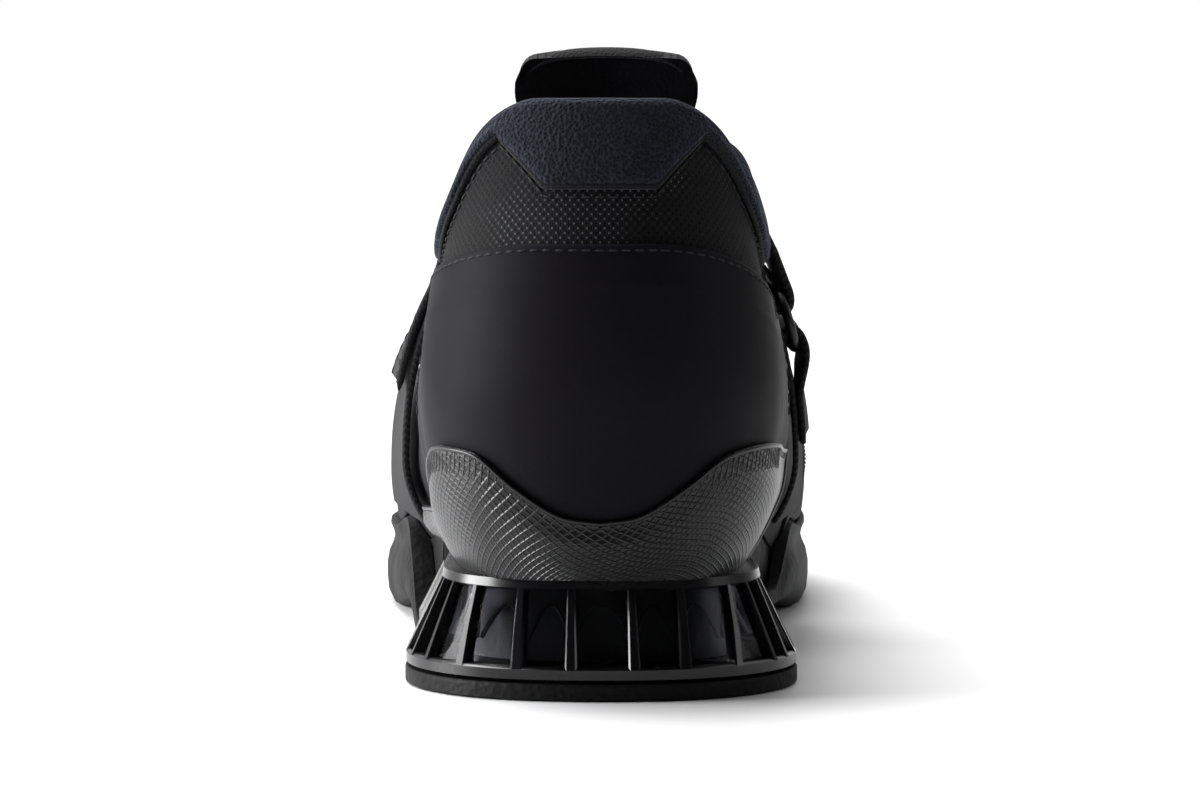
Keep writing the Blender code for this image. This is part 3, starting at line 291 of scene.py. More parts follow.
def place_of(distance):
    """Place at a distance along the sole."""
    distance = np.asarray(distance, float)
    heel = HEEL_TURN * np.arccos(np.clip(1 - distance / HEEL_ROUND, 0, 1)) * 2 / np.pi
    left = np.maximum(SOLE_LENGTH - distance, 0)
    toe = 1 - TOE_TURN * np.arccos(np.clip(1 - left / TOE_ROUND, 0, 1)) * 2 / np.pi
    part = (distance - HEEL_ROUND) / (SOLE_LENGTH - TOE_ROUND - HEEL_ROUND)
    place = mix(HEEL_TURN, 1 - TOE_TURN, part)
    place = np.where(distance < HEEL_ROUND, heel, place)
    return np.where(distance > SOLE_LENGTH - TOE_ROUND, toe, place)


def last(place, rise, side):
    """Points of the last's skin. rise is 0 at the feather edge and 1 at the ridge."""
    place, rise, side = np.broadcast_arrays(np.asarray(place, float), rise, side)
    side = np.where(place < 0, -side, side)
    place = np.abs(place)
    side = np.where(place > 1, -side, side)
    place = np.where(place > 1, 2 - place, place)
    side = np.where(rise > 1, -side, side)
    rise = np.where(rise > 1, 2 - rise, rise)
    share, roundness = along(place)
    lateral = LAST["lateral"](share)
    medial = LAST["medial"](share)
    half = (lateral + medial) / 2
    widest = LAST["widest"](share)
    top = LAST["top"](share)
    ankle = np.clip(LAST["ankle"](share), 0, 1)
    foot = feather(share)
    low = np.clip((WIDEST_RISE - rise) / WIDEST_RISE, 0, None)
    high = np.clip((rise - WIDEST_RISE) / (1 - WIDEST_RISE), 0, 1)
    power = 2 / LAST["square"](share)
    arch_width = np.maximum(np.cos(high * np.pi / 2), 0) ** power
    arch_height = mix(widest, top, np.sin(high * np.pi / 2) ** power)
    tube_width = mix(1.0, ANKLE_WIDTH / 2 / half, ease(high, 0.0, 0.75))
    width_high = mix(arch_width, tube_width, ankle)
    height_high = mix(arch_height, mix(widest, top, high), ankle)
    below = rise < WIDEST_RISE
    height = np.where(below, mix(widest, foot, low), height_high)
    width = np.where(below, 1 - LAST["tuck"](share) * low * low, width_high)
    shift = np.where(below, 0.0, RIDGE_SHIFT * (1 - arch_width) * (1 - ankle))
    tall = (height - foot) / (top - foot)
    heel_in = END_CURVES["heel"](tall) * (1 - ease(share, 0.0, 0.30))
    toe_in = END_CURVES["toe"](tall) * ease(share, 0.72, 1.0)
    x = (medial - lateral) / 2 * ease(share, 0.0, 0.2) + shift + side * half * width * roundness
    return points(x, share * SOLE_LENGTH + heel_in - toe_in, height)


def skin(place, rise, side, out=0.0):
    """Points at a distance outside the last's skin."""
    place, rise, side, out = np.broadcast_arrays(np.asarray(place, float), rise, side, out)
    step = 0.004
    down = last(place, rise - step, side) - last(place, rise + step, side)
    ahead = last(place + step, rise, side) - last(place - step, rise, side)
    normal = unit(np.cross(down, ahead) * side[..., None])
    return last(place, rise, side) + normal * out[..., None]


def halve(test, low, high, shape):
    """The value between low and high up to which test holds."""
    low = np.full(shape, float(low))
    high = np.full(shape, float(high))
    for _ in range(26):
        middle = (low + high) / 2
        holds = test(middle)
        low = np.where(holds, middle, low)
        high = np.where(holds, high, middle)
    return (low + high) / 2


def rise_at_height(place, side, height):
    place, side, height = np.broadcast_arrays(np.asarray(place, float), side, height)
    return halve(lambda rise: last(place, rise, side)[..., 2] < height, -0.6, 1.0, place.shape)


def rise_at_width(place, side, width):
    place, side, width = np.broadcast_arrays(np.asarray(place, float), side, width)
    ridge = (last(place, 1.0, -1)[..., 0] + last(place, 1.0, 1)[..., 0]) / 2
    return halve(lambda rise: np.abs(last(place, rise, side)[..., 0] - ridge) > width, WIDEST_RISE, 1.0, place.shape)


def at_height(place, height, out=0.0):
    """Points of the wall at heights. place is negative on the lateral side."""
    place = np.asarray(place, float)
    side = np.where(place < 0, -1.0, 1.0)
    return skin(np.abs(place), rise_at_height(np.abs(place), side, height), side, out)


def throat_half(distance):
    part = np.clip((distance - THROAT_TOP) / (THROAT_FRONT - THROAT_TOP), 0, 1)
    left = np.clip((THROAT_FRONT - distance) / THROAT_HALF_FRONT, 0, 1)
    return mix(THROAT_HALF_TOP, THROAT_HALF_FRONT, part) * np.sqrt(np.maximum(1 - (1 - left) ** 2, 0))


def edge_rise(place, side):
    """The rise at which the upper ends at the collar or the throat."""
    place = np.asarray(place, float)
    share, _ = along(place)
    distance = share * SOLE_LENGTH
    column = COLLAR["lateral" if side < 0 else "medial"]
    collar = rise_at_height(place, side, column(share) * COLLAR_HEIGHT)
    collar = np.where(share < COLLAR_END, collar, 1.0)
    throat = rise_at_width(place, side, throat_half(distance))
    throat = np.where(distance > THROAT_TOP - 0.0005, throat, 1.0)
    return np.where(distance >= THROAT_FRONT, 1.0, np.minimum(collar, throat))


def outline(place, side, inset=0.0):
    """Points of the outsole's outline on the floor, at a distance inside it."""
    place, side, inset = np.broadcast_arrays(np.asarray(place, float), side, inset)

    def at(spot):
        turn = np.where((spot < 0) | (spot > 1), -side, side)
        spot = np.abs(spot)
        spot = np.where(spot > 1, 2 - spot, spot)
        share, roundness = along(spot)
        lateral = OUTLINE["lateral"](share)
        medial = OUTLINE["medial"](share)
        x = (medial - lateral) / 2 + turn * (lateral + medial) / 2 * roundness
        return points(x, share * SOLE_LENGTH, 0.0)

    run = at(place + 0.004) - at(place - 0.004)
    inward = unit(points(-run[..., 1], run[..., 0], 0.0)) * side[..., None]
    return at(place) + inward * inset[..., None]


def cup_wall(share, side):
    start = np.where(side < 0, SIDEWALL_START, SIDEWALL_MEDIAL_START)
    return ease(share, start, start + SIDEWALL_RUN)


def lip_height(share, side):
    return ground(share) + mix(RUBBER, SIDEWALL_HEIGHT, cup_wall(share, side))


# The frame stands on its own origin: its sole's corner gives how far it was moved
own_places = np.linspace(0, 1, 2000)
OWN_LOW = Vector((outline(own_places, -1)[:, 0].min(), HEEL_ROUND * (1 - math.cos(math.pi / 16)), 0))
SHIFT = Vector(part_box("outsole")[0]) - OWN_LOW
SHIFT.z = 0


LOOKS = {}


class Look:
    """A node material whose patterns lie on the piece's own flat map, in metres."""

    def __init__(self, name, colour, roughness, specular=0.5, sheen=0.0, **sockets):
        material = bpy.data.materials.new(name)
        material.use_nodes = True
        LOOKS[name] = material
        self.tree = material.node_tree
        self.shader = self.tree.nodes["Principled BSDF"]
        self.so_far = {"Base Color": (*colour, 1), "Roughness": roughness}
        gloss = {"Specular IOR Level": specular, "Sheen Weight": sheen}
        for key, value in {**self.so_far, **gloss, **sockets}.items():
            self.shader.inputs[key.replace("_", " ")].default_value = value
        self.bumped = None
        self.map = self.add("ShaderNodeUVMap").outputs[0]
        self.space = self.add("ShaderNodeTexCoord").outputs["Object"]

    def add(self, kind, **inputs):
        node = self.tree.nodes.new(kind)
        for key, value in inputs.items():
            self.put(node.inputs[key.replace("_", " ")], value)
        return node

    def put(self, socket, value):
        if isinstance(value, bpy.types.NodeSocket):
            self.tree.links.new(value, socket)
        else:
            socket.default_value = value

    def math(self, kind, *values):
        node = self.tree.nodes.new("ShaderNodeMath")
        node.operation = kind
        for socket, value in zip(node.inputs, values):
            self.put(socket, value)
        return node.outputs[0]

    def wave(self, angle, pitch, bend=0.0, phase=0.0):
        """0 to 1 over each pitch, smooth, across lines at an angle on the flat map."""
        turn = math.radians(angle)
        parts = self.add("ShaderNodeSeparateXYZ", Vector=self.map).outputs
        spot = self.math("MULTIPLY_ADD", parts[0], math.sin(turn), self.math("MULTIPLY", parts[1], math.cos(turn)))
        if bend:
            spot = self.math("MULTIPLY_ADD", self.noise(90, 1), bend, spot)
        turned = self.math("MULTIPLY_ADD", spot, math.tau / pitch, phase)
        return self.math("MULTIPLY_ADD", self.math("SINE", turned), 0.5, 0.5)

    def weave(self, kind, angle, pitch, phase=0.0):
        """Two sets of lines that cross, joined by a kind of sum."""
        return self.math(kind, self.wave(angle, pitch, phase=phase), self.wave(-angle, pitch, phase=phase))

    def noise(self, scale, detail):
        return self.add("ShaderNodeTexNoise", Vector=self.space, Scale=scale, Detail=detail).outputs[0]

    def cells(self, scale):
        return self.add("ShaderNodeTexVoronoi", Vector=self.space, Scale=scale).outputs["Distance"]

    def between(self, value, low, high):
        """Smooth step of a value from low to high."""
        node = self.add("ShaderNodeMapRange", Value=value, From_Min=low, From_Max=high)
        node.interpolation_type = "SMOOTHSTEP"
        return node.outputs[0]

    def aside(self, low, high):
        """0 near the shoe's middle plane, 1 at its sides."""
        parts = self.add("ShaderNodeSeparateXYZ", Vector=self.space).outputs
        return self.between(self.math("ABSOLUTE", parts[0]), low, high)

    def bump(self, height, depth):
        node = self.add("ShaderNodeBump", Height=height, Distance=depth, Strength=1.0)
        if self.bumped:
            self.put(node.inputs["Normal"], self.bumped)
        self.bumped = node.outputs[0]
        self.put(self.shader.inputs["Normal"], self.bumped)

    def blend(self, key, kind, first, result, factor, value):
        """Mix a value over what an input of the shader has so far."""
        node = self.tree.nodes.new("ShaderNodeMix")
        node.data_type = kind
        for index, part in ((0, factor), (first, self.so_far[key]), (first + 1, value)):
            self.put(node.inputs[index], part)
        self.so_far[key] = node.outputs[result]
        self.put(self.shader.inputs[key], self.so_far[key])

    def tint(self, factor, colour):
        self.blend("Base Color", "RGBA", 6, 2, factor, (*colour, 1))

    def rough(self, factor, value):
        self.blend("Roughness", "FLOAT", 2, 0, factor, value)

    def grain(self, scale, detail, depth):
        self.bump(self.noise(scale, detail), depth)

    def shade(self, value, low, high, colour):
        self.tint(self.between(value, low, high), colour)

    def fleck(self, scale, detail, low, high, colour):
        self.shade(self.noise(scale, detail), low, high, colour)

    def wear(self, scale, detail, low, high, value):
        self.rough(self.between(self.noise(scale, detail), low, high), value)


def make_looks():
    lining = Look("lining", (0.0052, 0.0058, 0.0084), 0.95, 0.12, 0.10,
                  Sheen_Roughness=0.45, Sheen_Tint=(0.60, 0.70, 1.0, 1))
    nubs = lining.cells(1300)
    lining.bump(nubs, 0.0004)
    lining.shade(nubs, 0.3, 0.75, (0.0125, 0.0142, 0.0195))
    lining.fleck(55, 3, 0.5, 0.85, (0.0040, 0.0045, 0.0065))

    mesh = Look("open_mesh", (0.0048, 0.0048, 0.0056), 0.75, 0.10, 0.01)
    holes = mesh.weave("MULTIPLY", 45, 0.0015)
    hollow = mesh.between(holes, 0.30, 0.50)
    mesh.bump(mesh.math("SUBTRACT", 1.0, hollow), 0.0007)
    # painted shade: the mesh's holes are tinted near black, standing in for the shade inside them
    mesh.tint(hollow, (0.0003, 0.0003, 0.0004))
    yarn = mesh.weave("MULTIPLY", 45, 0.0015, math.pi)
    patches = mesh.between(mesh.noise(45, 3), 0.44, 0.62)
    mesh.tint(mesh.math("MULTIPLY", mesh.between(yarn, 0.62, 0.92), patches), (0.072, 0.072, 0.078))
    mesh.bump(mesh.wave(90, 0.0004), 0.00005)

    knit = Look("rib_knit", (0.0060, 0.0060, 0.0068), 0.75, 0.15, 0.03)
    ribs = knit.wave(58, 0.00105, bend=0.0003)
    knit.bump(ribs, 0.00020)
    knit.bump(knit.wave(-32, 0.0006), 0.00005)
    knit.shade(ribs, 0.45, 0.95, (0.018, 0.018, 0.021))
    knit.fleck(45, 3, 0.55, 0.8, (0.005, 0.005, 0.006))

    inside = Look("inner_lining", (0.007, 0.0075, 0.0095), 0.95, 0.2, 0.08)
    inside.bump(inside.cells(900), 0.0002)
    inside.fleck(60, 3, 0.5, 0.8, (0.010, 0.011, 0.015))

    tongue = Look("tongue_inside", (0.0022, 0.0018, 0.0026), 0.95, 0.06)
    tongue.bump(tongue.cells(1500), 0.0001)
    tongue.fleck(70, 3, 0.5, 0.8, (0.0032, 0.0027, 0.0038))

    smooth = Look("smooth_panel", (0.0046, 0.0041, 0.0052), 0.62, 0.05)
    smooth.grain(2400, 3, 0.00003)
    smooth.wear(30, 4, 0.35, 0.7, 0.48)
    smooth.fleck(14, 2, 0.45, 0.7, (0.0058, 0.0051, 0.0066))

    clip = Look("clip_gloss", (0.0024, 0.0024, 0.0028), 0.30, 0.30)
    lines = clip.math("MAXIMUM", clip.math("POWER", clip.wave(24, 0.0013), 7),
                      clip.math("POWER", clip.wave(-60, 0.0019), 8))
    clip.bump(lines, 0.00016)
    clip.rough(lines, 0.42)
    clip.tint(clip.math("MULTIPLY", lines, 0.6), (0.014, 0.014, 0.0155))
    clip.grain(1800, 2, 0.00002)

    wing = Look("clip_edge", (0.0030, 0.0030, 0.0034), 0.34, 0.30)
    wing.grain(900, 2, 0.00002)

    hard = Look("rib_gloss", (0.0030, 0.0030, 0.0038), 0.24, 0.34)
    hard.wear(120, 3, 0.4, 0.7, 0.28)

    smoky = Look("smoky_window", (0.50, 0.51, 0.54), 0.06, 0.25, Transmission_Weight=1.0, IOR=1.12)
    smoky.wear(90, 2, 0.4, 0.8, 0.12)
    # painted light: the panes are tinted lighter towards the shoe's sides, standing in for light passing through the
    # cage there
    smoky.tint(smoky.aside(0.022, 0.038), (0.90, 0.90, 0.93))

    core = Look("core_plastic", (0.012, 0.012, 0.0135), 0.5, 0.3)
    core.wear(60, 2, 0.4, 0.7, 0.6)
    # painted light: the core is tinted much lighter towards the shoe's sides, standing in for light coming through
    # the cage there
    core.tint(core.aside(0.020, 0.034), (0.24, 0.24, 0.26))

    rubber = Look("rubber", (0.0032, 0.0032, 0.0034), 0.58, 0.12)
    rubber.bump(rubber.cells(620), 0.00016)
    rubber.wear(50, 4, 0.4, 0.7, 0.72)
    rubber.fleck(26, 3, 0.55, 0.8, (0.0055, 0.0055, 0.0056))

    tread = Look("tread_rubber", (0.009, 0.009, 0.0092), 0.7, 0.35)
    hatch = tread.weave("MAXIMUM", 30, 0.003)
    tread.bump(tread.between(hatch, 0.55, 0.75), 0.0004)
    tread.rough(tread.noise(80, 3), 0.8)

    foam = Look("foam", (0.0055, 0.0055, 0.0060), 0.7, 0.12)
    foam.grain(900, 3, 0.00006)
    foam.rough(foam.noise(40, 2), 0.6)

    webbing = Look("webbing", (0.0058, 0.0058, 0.0066), 0.75, 0.2, 0.04)
    weave = webbing.weave("MULTIPLY", 45, 0.0012)
    webbing.bump(weave, 0.00022)
    webbing.shade(weave, 0.3, 0.8, (0.016, 0.016, 0.018))

    lace = Look("lace", (0.0075, 0.0075, 0.0088), 0.85, 0.25, 0.1)
    braid = lace.weave("MAXIMUM", 35, 0.0011)
    lace.bump(braid, 0.00025)
    lace.shade(braid, 0.5, 0.95, (0.019, 0.019, 0.022))

    thread = Look("thread", (0.0105, 0.0105, 0.0120), 0.7, 0.2)
    thread.grain(4000, 1, 0.00003)

    binding = Look("binding", (0.0060, 0.0060, 0.0072), 0.85, 0.12, 0.05)
    binding.bump(binding.cells(1500), 0.0002)

    metal = Look("eyelet_metal", (0.02, 0.02, 0.022), 0.3, Metallic=0.7)
    metal.rough(metal.noise(300, 2), 0.4)


def flat_map(grid):
    """Metres along and up a grid of points."""
    middle = grid.shape[1] // 2
    along_run = run_of(grid[:, middle])
    up_steps = np.linalg.norm(np.diff(grid, axis=1), axis=-1)
    up_run = np.concatenate([np.zeros((grid.shape[0], 1)), np.cumsum(up_steps, axis=1)], axis=1)
    up_run = up_run - up_run[:, middle:middle + 1]
    return np.stack([np.broadcast_to(along_run[:, None], up_run.shape), up_run], axis=-1)


def run_of(path):
    """Distance along a path at each of its points."""
    return np.concatenate([[0], np.cumsum(np.linalg.norm(np.diff(path, axis=0), axis=-1))])


def start_mesh():
    bm = bmesh.new()
    return bm, bm.loops.layers.uv.new("UVMap")


def add_grid(bm, uv, grid, flat, kinds=None):
    """Faces over a grid of points, with their flat map. Returns the vertices, column by column."""
    count, rows = grid.shape[:2]
    verts = [bm.verts.new(point) for point in grid.reshape(-1, 3)]
    for i in range(count - 1):
        for j in range(rows - 1):
            corners = ((i, j), (i + 1, j), (i + 1, j + 1), (i, j + 1))
            face = bm.faces.new([verts[a * rows + b] for a, b in corners])
            if kinds is not None:
                face.material_index = int(kinds[i, j])
            for loop, (a, b) in zip(face.loops, corners):
                loop[uv].uv = flat[a, b]
    return verts


def join_rings(bm, rings):
    """Faces between rings of vertices that follow one another."""
    for here, ahead in zip(rings, rings[1:]):
        for step in range(len(here)):
            after = (step + 1) % len(here)
            bm.faces.new((here[step], here[after], ahead[after], ahead[step]))


def place_piece(name, bm, looks, nodes=(), angle=60):
    bmesh.ops.recalc_face_normals(bm, faces=bm.faces)
    bmesh.ops.translate(bm, verts=bm.verts, vec=SHIFT)
    mesh = bpy.data.meshes.new(name)
    bm.to_mesh(mesh)
    bm.free()
    for look in looks:
        mesh.materials.append(LOOKS[look])
    mesh.shade_smooth()
    mesh.set_sharp_from_angle(angle=math.radians(angle))
    piece = bpy.data.objects.new(name, mesh)
    bpy.context.scene.collection.objects.link(piece)
    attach(piece, "root")
    if nodes:
        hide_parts(*nodes)
    return piece


def shell(name, grids, looks, nodes=(), kinds=None, inside=0, angle=45):
    """A closed body from grids of outer points and their mates on the inner side."""
    bm, uv = start_mesh()
    tag = bm.verts.layers.int.new("tag")
    backs = []
    for number, (front, back) in enumerate(grids):
        verts = add_grid(bm, uv, front, flat_map(front), kinds[number] if kinds else None)
        for vert, point in zip(verts, back.reshape(-1, 3)):
            vert[tag] = len(backs)
            backs.append(point)
    bmesh.ops.remove_doubles(bm, verts=bm.verts, dist=2e-6)
    faces = list(bm.faces)
    mate = {vert: bm.verts.new(backs[vert[tag]]) for vert in list(bm.verts)}
    rims = [edge.link_loops[0] for edge in bm.edges if len(edge.link_loops) == 1]
    for face in faces:
        loops = list(reversed(face.loops))
        back = bm.faces.new([mate[loop.vert] for loop in loops])
        back.material_index = inside if inside else face.material_index
        for loop, source in zip(back.loops, loops):
            loop[uv].uv = source[uv].uv
    for rim in rims:
        start = rim.vert
        end = rim.link_loop_next.vert
        face = bm.faces.new((end, start, mate[start], mate[end]))
        face.material_index = rim.face.material_index
        spots = (rim.link_loop_next[uv].uv, rim[uv].uv, rim[uv].uv, rim.link_loop_next[uv].uv)
        for loop, spot in zip(face.loops, spots):
            loop[uv].uv = spot
    return place_piece(name, bm, looks, nodes, angle)


def spread(count, length, edge):
    """Shares from 0 to 1, closer together where a border is round."""
    near = np.array([0.0, 0.08, 0.30, 0.62, 1.0]) * edge / length
    middle = np.linspace(near[-1], 1 - near[-1], count)[1:-1]
    return np.concatenate([near, middle, (1 - near)[::-1]])


def crown(distance, edge):
    """Rounded border: 0.25 at the very edge, 1 from a distance inwards."""
    t = np.clip(distance / edge, 0, 1)
    return 0.25 + 0.75 * np.sqrt(1 - (1 - t) ** 2)


def panel(name, surface, bed, thickness, length, width, counts, look, nodes=(), edge=0.0008, relief=None):
    """A panel with rounded borders. surface(u, v, out) gives its points for u and v from 0 to 1."""
    u, v = np.meshgrid(spread(counts[0], length, edge), spread(counts[1], width, edge), indexing="ij")
    distance = np.minimum(np.minimum(u, 1 - u) * length, np.minimum(v, 1 - v) * width)
    out = bed + thickness * crown(distance, edge)
    if relief is not None:
        out = out + relief(u, v)
    shell(name, [(surface(u, v, out), surface(u, v, np.full_like(u, bed)))], [look], nodes)


def at_spots(values, run, spots):
    """Values given at distances along a path, taken at other distances along it."""
    return np.stack([np.interp(spots, run, values[:, axis]) for axis in range(3)], axis=-1)


def lifted(surface, out):
    """Points of a surface at a distance out, and the way out from it there."""
    path = surface(out)
    return path, unit(surface(out + 0.001) - path)


def add_tube(bm, path, outs, wide, high=None, sides=10, closed=False, round_ends=True):
    """A tube along a path. outs points away from the surface at each point of the path."""
    high = wide if high is None else high
    wide = np.broadcast_to(wide, len(path))
    high = np.broadcast_to(high, len(path))
    if closed:
        run = unit(np.roll(path, -1, axis=0) - np.roll(path, 1, axis=0))
    else:
        run = unit(np.gradient(path, axis=0))
    outs = unit(outs - run * (outs * run).sum(-1, keepdims=True))
    cross = np.cross(run, outs)
    angles = math.tau * (np.arange(sides) + 0.5) / sides
    sideways = cross[:, None] * (np.cos(angles) * wide[:, None])[..., None]
    upwards = outs[:, None] * (np.sin(angles) * high[:, None])[..., None]
    rings = [[bm.verts.new(point) for point in ring] for ring in path[:, None] + sideways + upwards]
    join_rings(bm, rings + rings[:1] if closed else rings)
    if not closed:
        reach = 0.4 if round_ends else 0.0
        for ring, spot in ((rings[0], path[0] - run[0] * wide[0] * reach),
                           (rings[-1], path[-1] + run[-1] * wide[-1] * reach)):
            tip = bm.verts.new(spot)
            for step in range(sides):
                bm.faces.new((ring[step], ring[(step + 1) % sides], tip))


def tube_piece(name, runs, look, slot, nodes=(), **shape):
    """One piece of tubes, each a path, its outward ways and its half width and half height."""
    bm, _ = start_mesh()
    for run in runs:
        add_tube(bm, *run, **shape)
    place_piece(name, bm, [look], nodes)


def stitch_piece(name, lines, radius=0.0002):
    """One piece of stitch rows, each a path on a surface and its outward ways."""
    pitch = STITCH + STITCH_GAP
    spots = STITCH_GAP / 2 + np.array([0.0, 0.2, 0.8, 1.0]) * STITCH
    rise = np.array([-0.6, 0.7, 0.7, -0.6])[:, None] * radius
    size = np.array([0.5, 1.0, 1.0, 0.5]) * radius
    bm, _ = start_mesh()
    for path, outs in lines:
        outs = np.broadcast_to(outs, path.shape)
        run = run_of(path)
        for index in range(int(run[-1] // pitch)):
            out = at_spots(outs, run, spots + index * pitch)
            middle = at_spots(path, run, spots + index * pitch)
            add_tube(bm, middle + out * rise, out, size * 1.15, size, sides=5, round_ends=False)
    place_piece(name, bm, ["thread"])


# Flex creases over the ball: place along the sole, how deep, how wide and how they bow
CREASES = (
    (0.2120, 0.0009, 0.0030, 0.010),
    (0.2210, 0.0007, 0.0026, 0.016),
    (0.2300, 0.0004, 0.0022, 0.020),
)


def flex(distance, rise, side):
    """Soft troughs across the vamp, deepest over the outer toes and gone at the sole."""
    height = np.zeros(np.broadcast(distance, rise).shape)
    for place, depth, width, bow in CREASES:
        lie = place - bow * (1 - np.minimum(rise, 1)) ** 2 * (1.0 if side < 0 else 1.6)
        away = (distance - lie) / width
        height = height - depth * (np.exp(-away ** 2) - 0.45 * np.exp(-(away - 1.9) ** 2))
    return height * ease(rise, 0.32, 0.6) * (1.0 if side < 0 else 0.8)


def make_upper():
    special = place_of(np.array([THROAT_TOP - 0.0006, THROAT_TOP - 0.0004, THROAT_FRONT - 0.0002, THROAT_FRONT]))
    places = np.unique(np.concatenate([np.linspace(0, 1, 240), special]))
    rows = np.linspace(0, 1, 48)
    heel = (places[1:] + places[:-1]) / 2 < place_of(MESH_END)
    kinds = np.repeat(heel[:, None], len(rows) - 1, axis=1)
    grids = []
    for side in (-1, 1):
        rise = edge_rise(places, side)[:, None] * rows[None, :]
        out = flex((along(places)[0] * SOLE_LENGTH)[:, None], rise, side)
        grids.append((skin(places[:, None], rise, side, out), skin(places[:, None], rise, side, out - WALL)))
    shell("upper_fabric", grids, ["rib_knit", "open_mesh", "inner_lining"], ("upper",), (kinds, kinds),
          inside=2)


COUNTER_END = float(place_of(COUNTER_RUN))


def counter_top(place):
    far = np.abs(place) / COUNTER_END
    return COUNTER_TOP - np.where(place > 0, 0.0195, 0.0125) * ease(far, 0.1, 1.0)


def wall_line(places, heights, out):
    """Points on the wall and the way out from it there."""
    return lifted(lambda out: at_height(places, heights, out), out)


def make_counter():
    def surface(u, v, out):
        place = mix(-COUNTER_END, COUNTER_END, u)
        return at_height(place, mix(COUNTER_FOOT, counter_top(place), v), out)

    def relief(u, v):
        arc = np.exp(-((v - 0.87 + 0.55 * (u - 0.5) ** 2) / 0.016) ** 2)
        side = np.exp(-((np.abs(u - 0.5) - 0.40) / 0.012) ** 2) * ease(v, 0.2, 0.5)
        return 0.00022 * arc - 0.00016 * side

    panel("heel_panel", surface, OVERLAY_GAP, PANEL, 0.2, 0.065, (120, 60), "smooth_panel",
          ("heel_counter",), relief=relief)
    out = OVERLAY_GAP + PANEL
    places = np.linspace(-COUNTER_END * 0.97, COUNTER_END * 0.97, 200)
    lines = [wall_line(places, counter_top(places) - 0.0016, out)]
    for end in (-1, 1):
        heights = np.linspace(0.056, counter_top(end * COUNTER_END) - 0.002, 60)
        for inset in (0.004, 0.007):
            lines.append(wall_line(np.full(60, end * (COUNTER_END - inset)), heights, out))
    stitch_piece("heel_panel_stitches", lines)


CLIP_LATERAL = -float(place_of(CLIP_LATERAL_RUN))
CLIP_MEDIAL_TOP = float(place_of(CLIP_MEDIAL_TOP_RUN))
CLIP_MEDIAL_FOOT = float(place_of(CLIP_MEDIAL_FOOT_RUN))
CLIP_BED = OVERLAY_GAP * 2 + PANEL


def clip_surface(u, v, out):
    sweep = 1 - (1 - v) ** 1.6
    place = mix(CLIP_LATERAL, mix(CLIP_MEDIAL_FOOT, CLIP_MEDIAL_TOP, sweep), u)
    distance = np.abs(place) * FULL_GIRTH
    edge = np.where(place < 0, CLIP_EDGE["lateral"](distance), CLIP_EDGE["medial"](distance))
    return at_height(place, mix(CAGE_TOP + 0.0006, mix(CLIP_VALLEY, CLIP_PEAK, edge), v), out)


def clip_out(v):
    """The cup's outer face: thin at its top edge, full from a third of the way down."""
    return CLIP_BED + CLIP_THICKNESS * mix(0.34, 1.0, ease(1 - v, 0.0, 0.42)) - 0.0006 * ease(1 - v, 0.7, 1.0)


def make_clip():
    def run_on(share, v):
        return lifted(lambda out: clip_surface(share, v, out), clip_out(v))

    u, v = np.meshgrid(spread(230, 0.22, 0.001), spread(34, 0.026, 0.0007), indexing="ij")
    border = np.minimum(np.minimum(u, 1 - u) * 0.22 / 0.001, np.minimum(v, 1 - v) * 0.026 / 0.0007)
    out = CLIP_BED + (clip_out(v) - CLIP_BED) * crown(border, 1.0)
    bed = np.full_like(u, CLIP_BED)
    shell("clip_cup", [(clip_surface(u, v, out), clip_surface(u, v, bed))], ["clip_gloss"],
          ("heel_clip",))
    ticks = []
    taper = np.array([0.5, 1, 1, 1, 0.5])
    for share in np.linspace(0.02, 0.99, 118):
        distance = abs(mix(CLIP_LATERAL, CLIP_MEDIAL_TOP, share)) * FULL_GIRTH
        tall = 0.17 if 0.024 < distance < 0.062 else 0.07
        ticks.append((*run_on(share, np.linspace(0.985, 0.985 - tall, 5)), taper * 0.00024, taper * 0.00016))
    tube_piece("clip_ticks", ticks, "clip_edge", "heel_clip", sides=6)
    front = run_on(0.995, np.linspace(0.02, 0.985, 40))
    tube_piece("clip_front_lip", [(*front, 0.0007, 0.00045)], "clip_edge", "heel_clip")
    top = run_on(np.linspace(0.01, 0.99, 260), 0.985)
    tube_piece("clip_top_lip", [(*top, 0.0005, 0.0003)], "clip_edge", "heel_clip", sides=8)


def chevron_drop(spot):
    """How far the lining comes down outside: the chevron behind and a thin rim beside it."""
    back = 1 - np.clip((spot * FULL_GIRTH - 0.0125) / 0.0145, 0, 1)
    return mix(CUFF_DROP, CHEVRON_DROP, back ** 0.9)


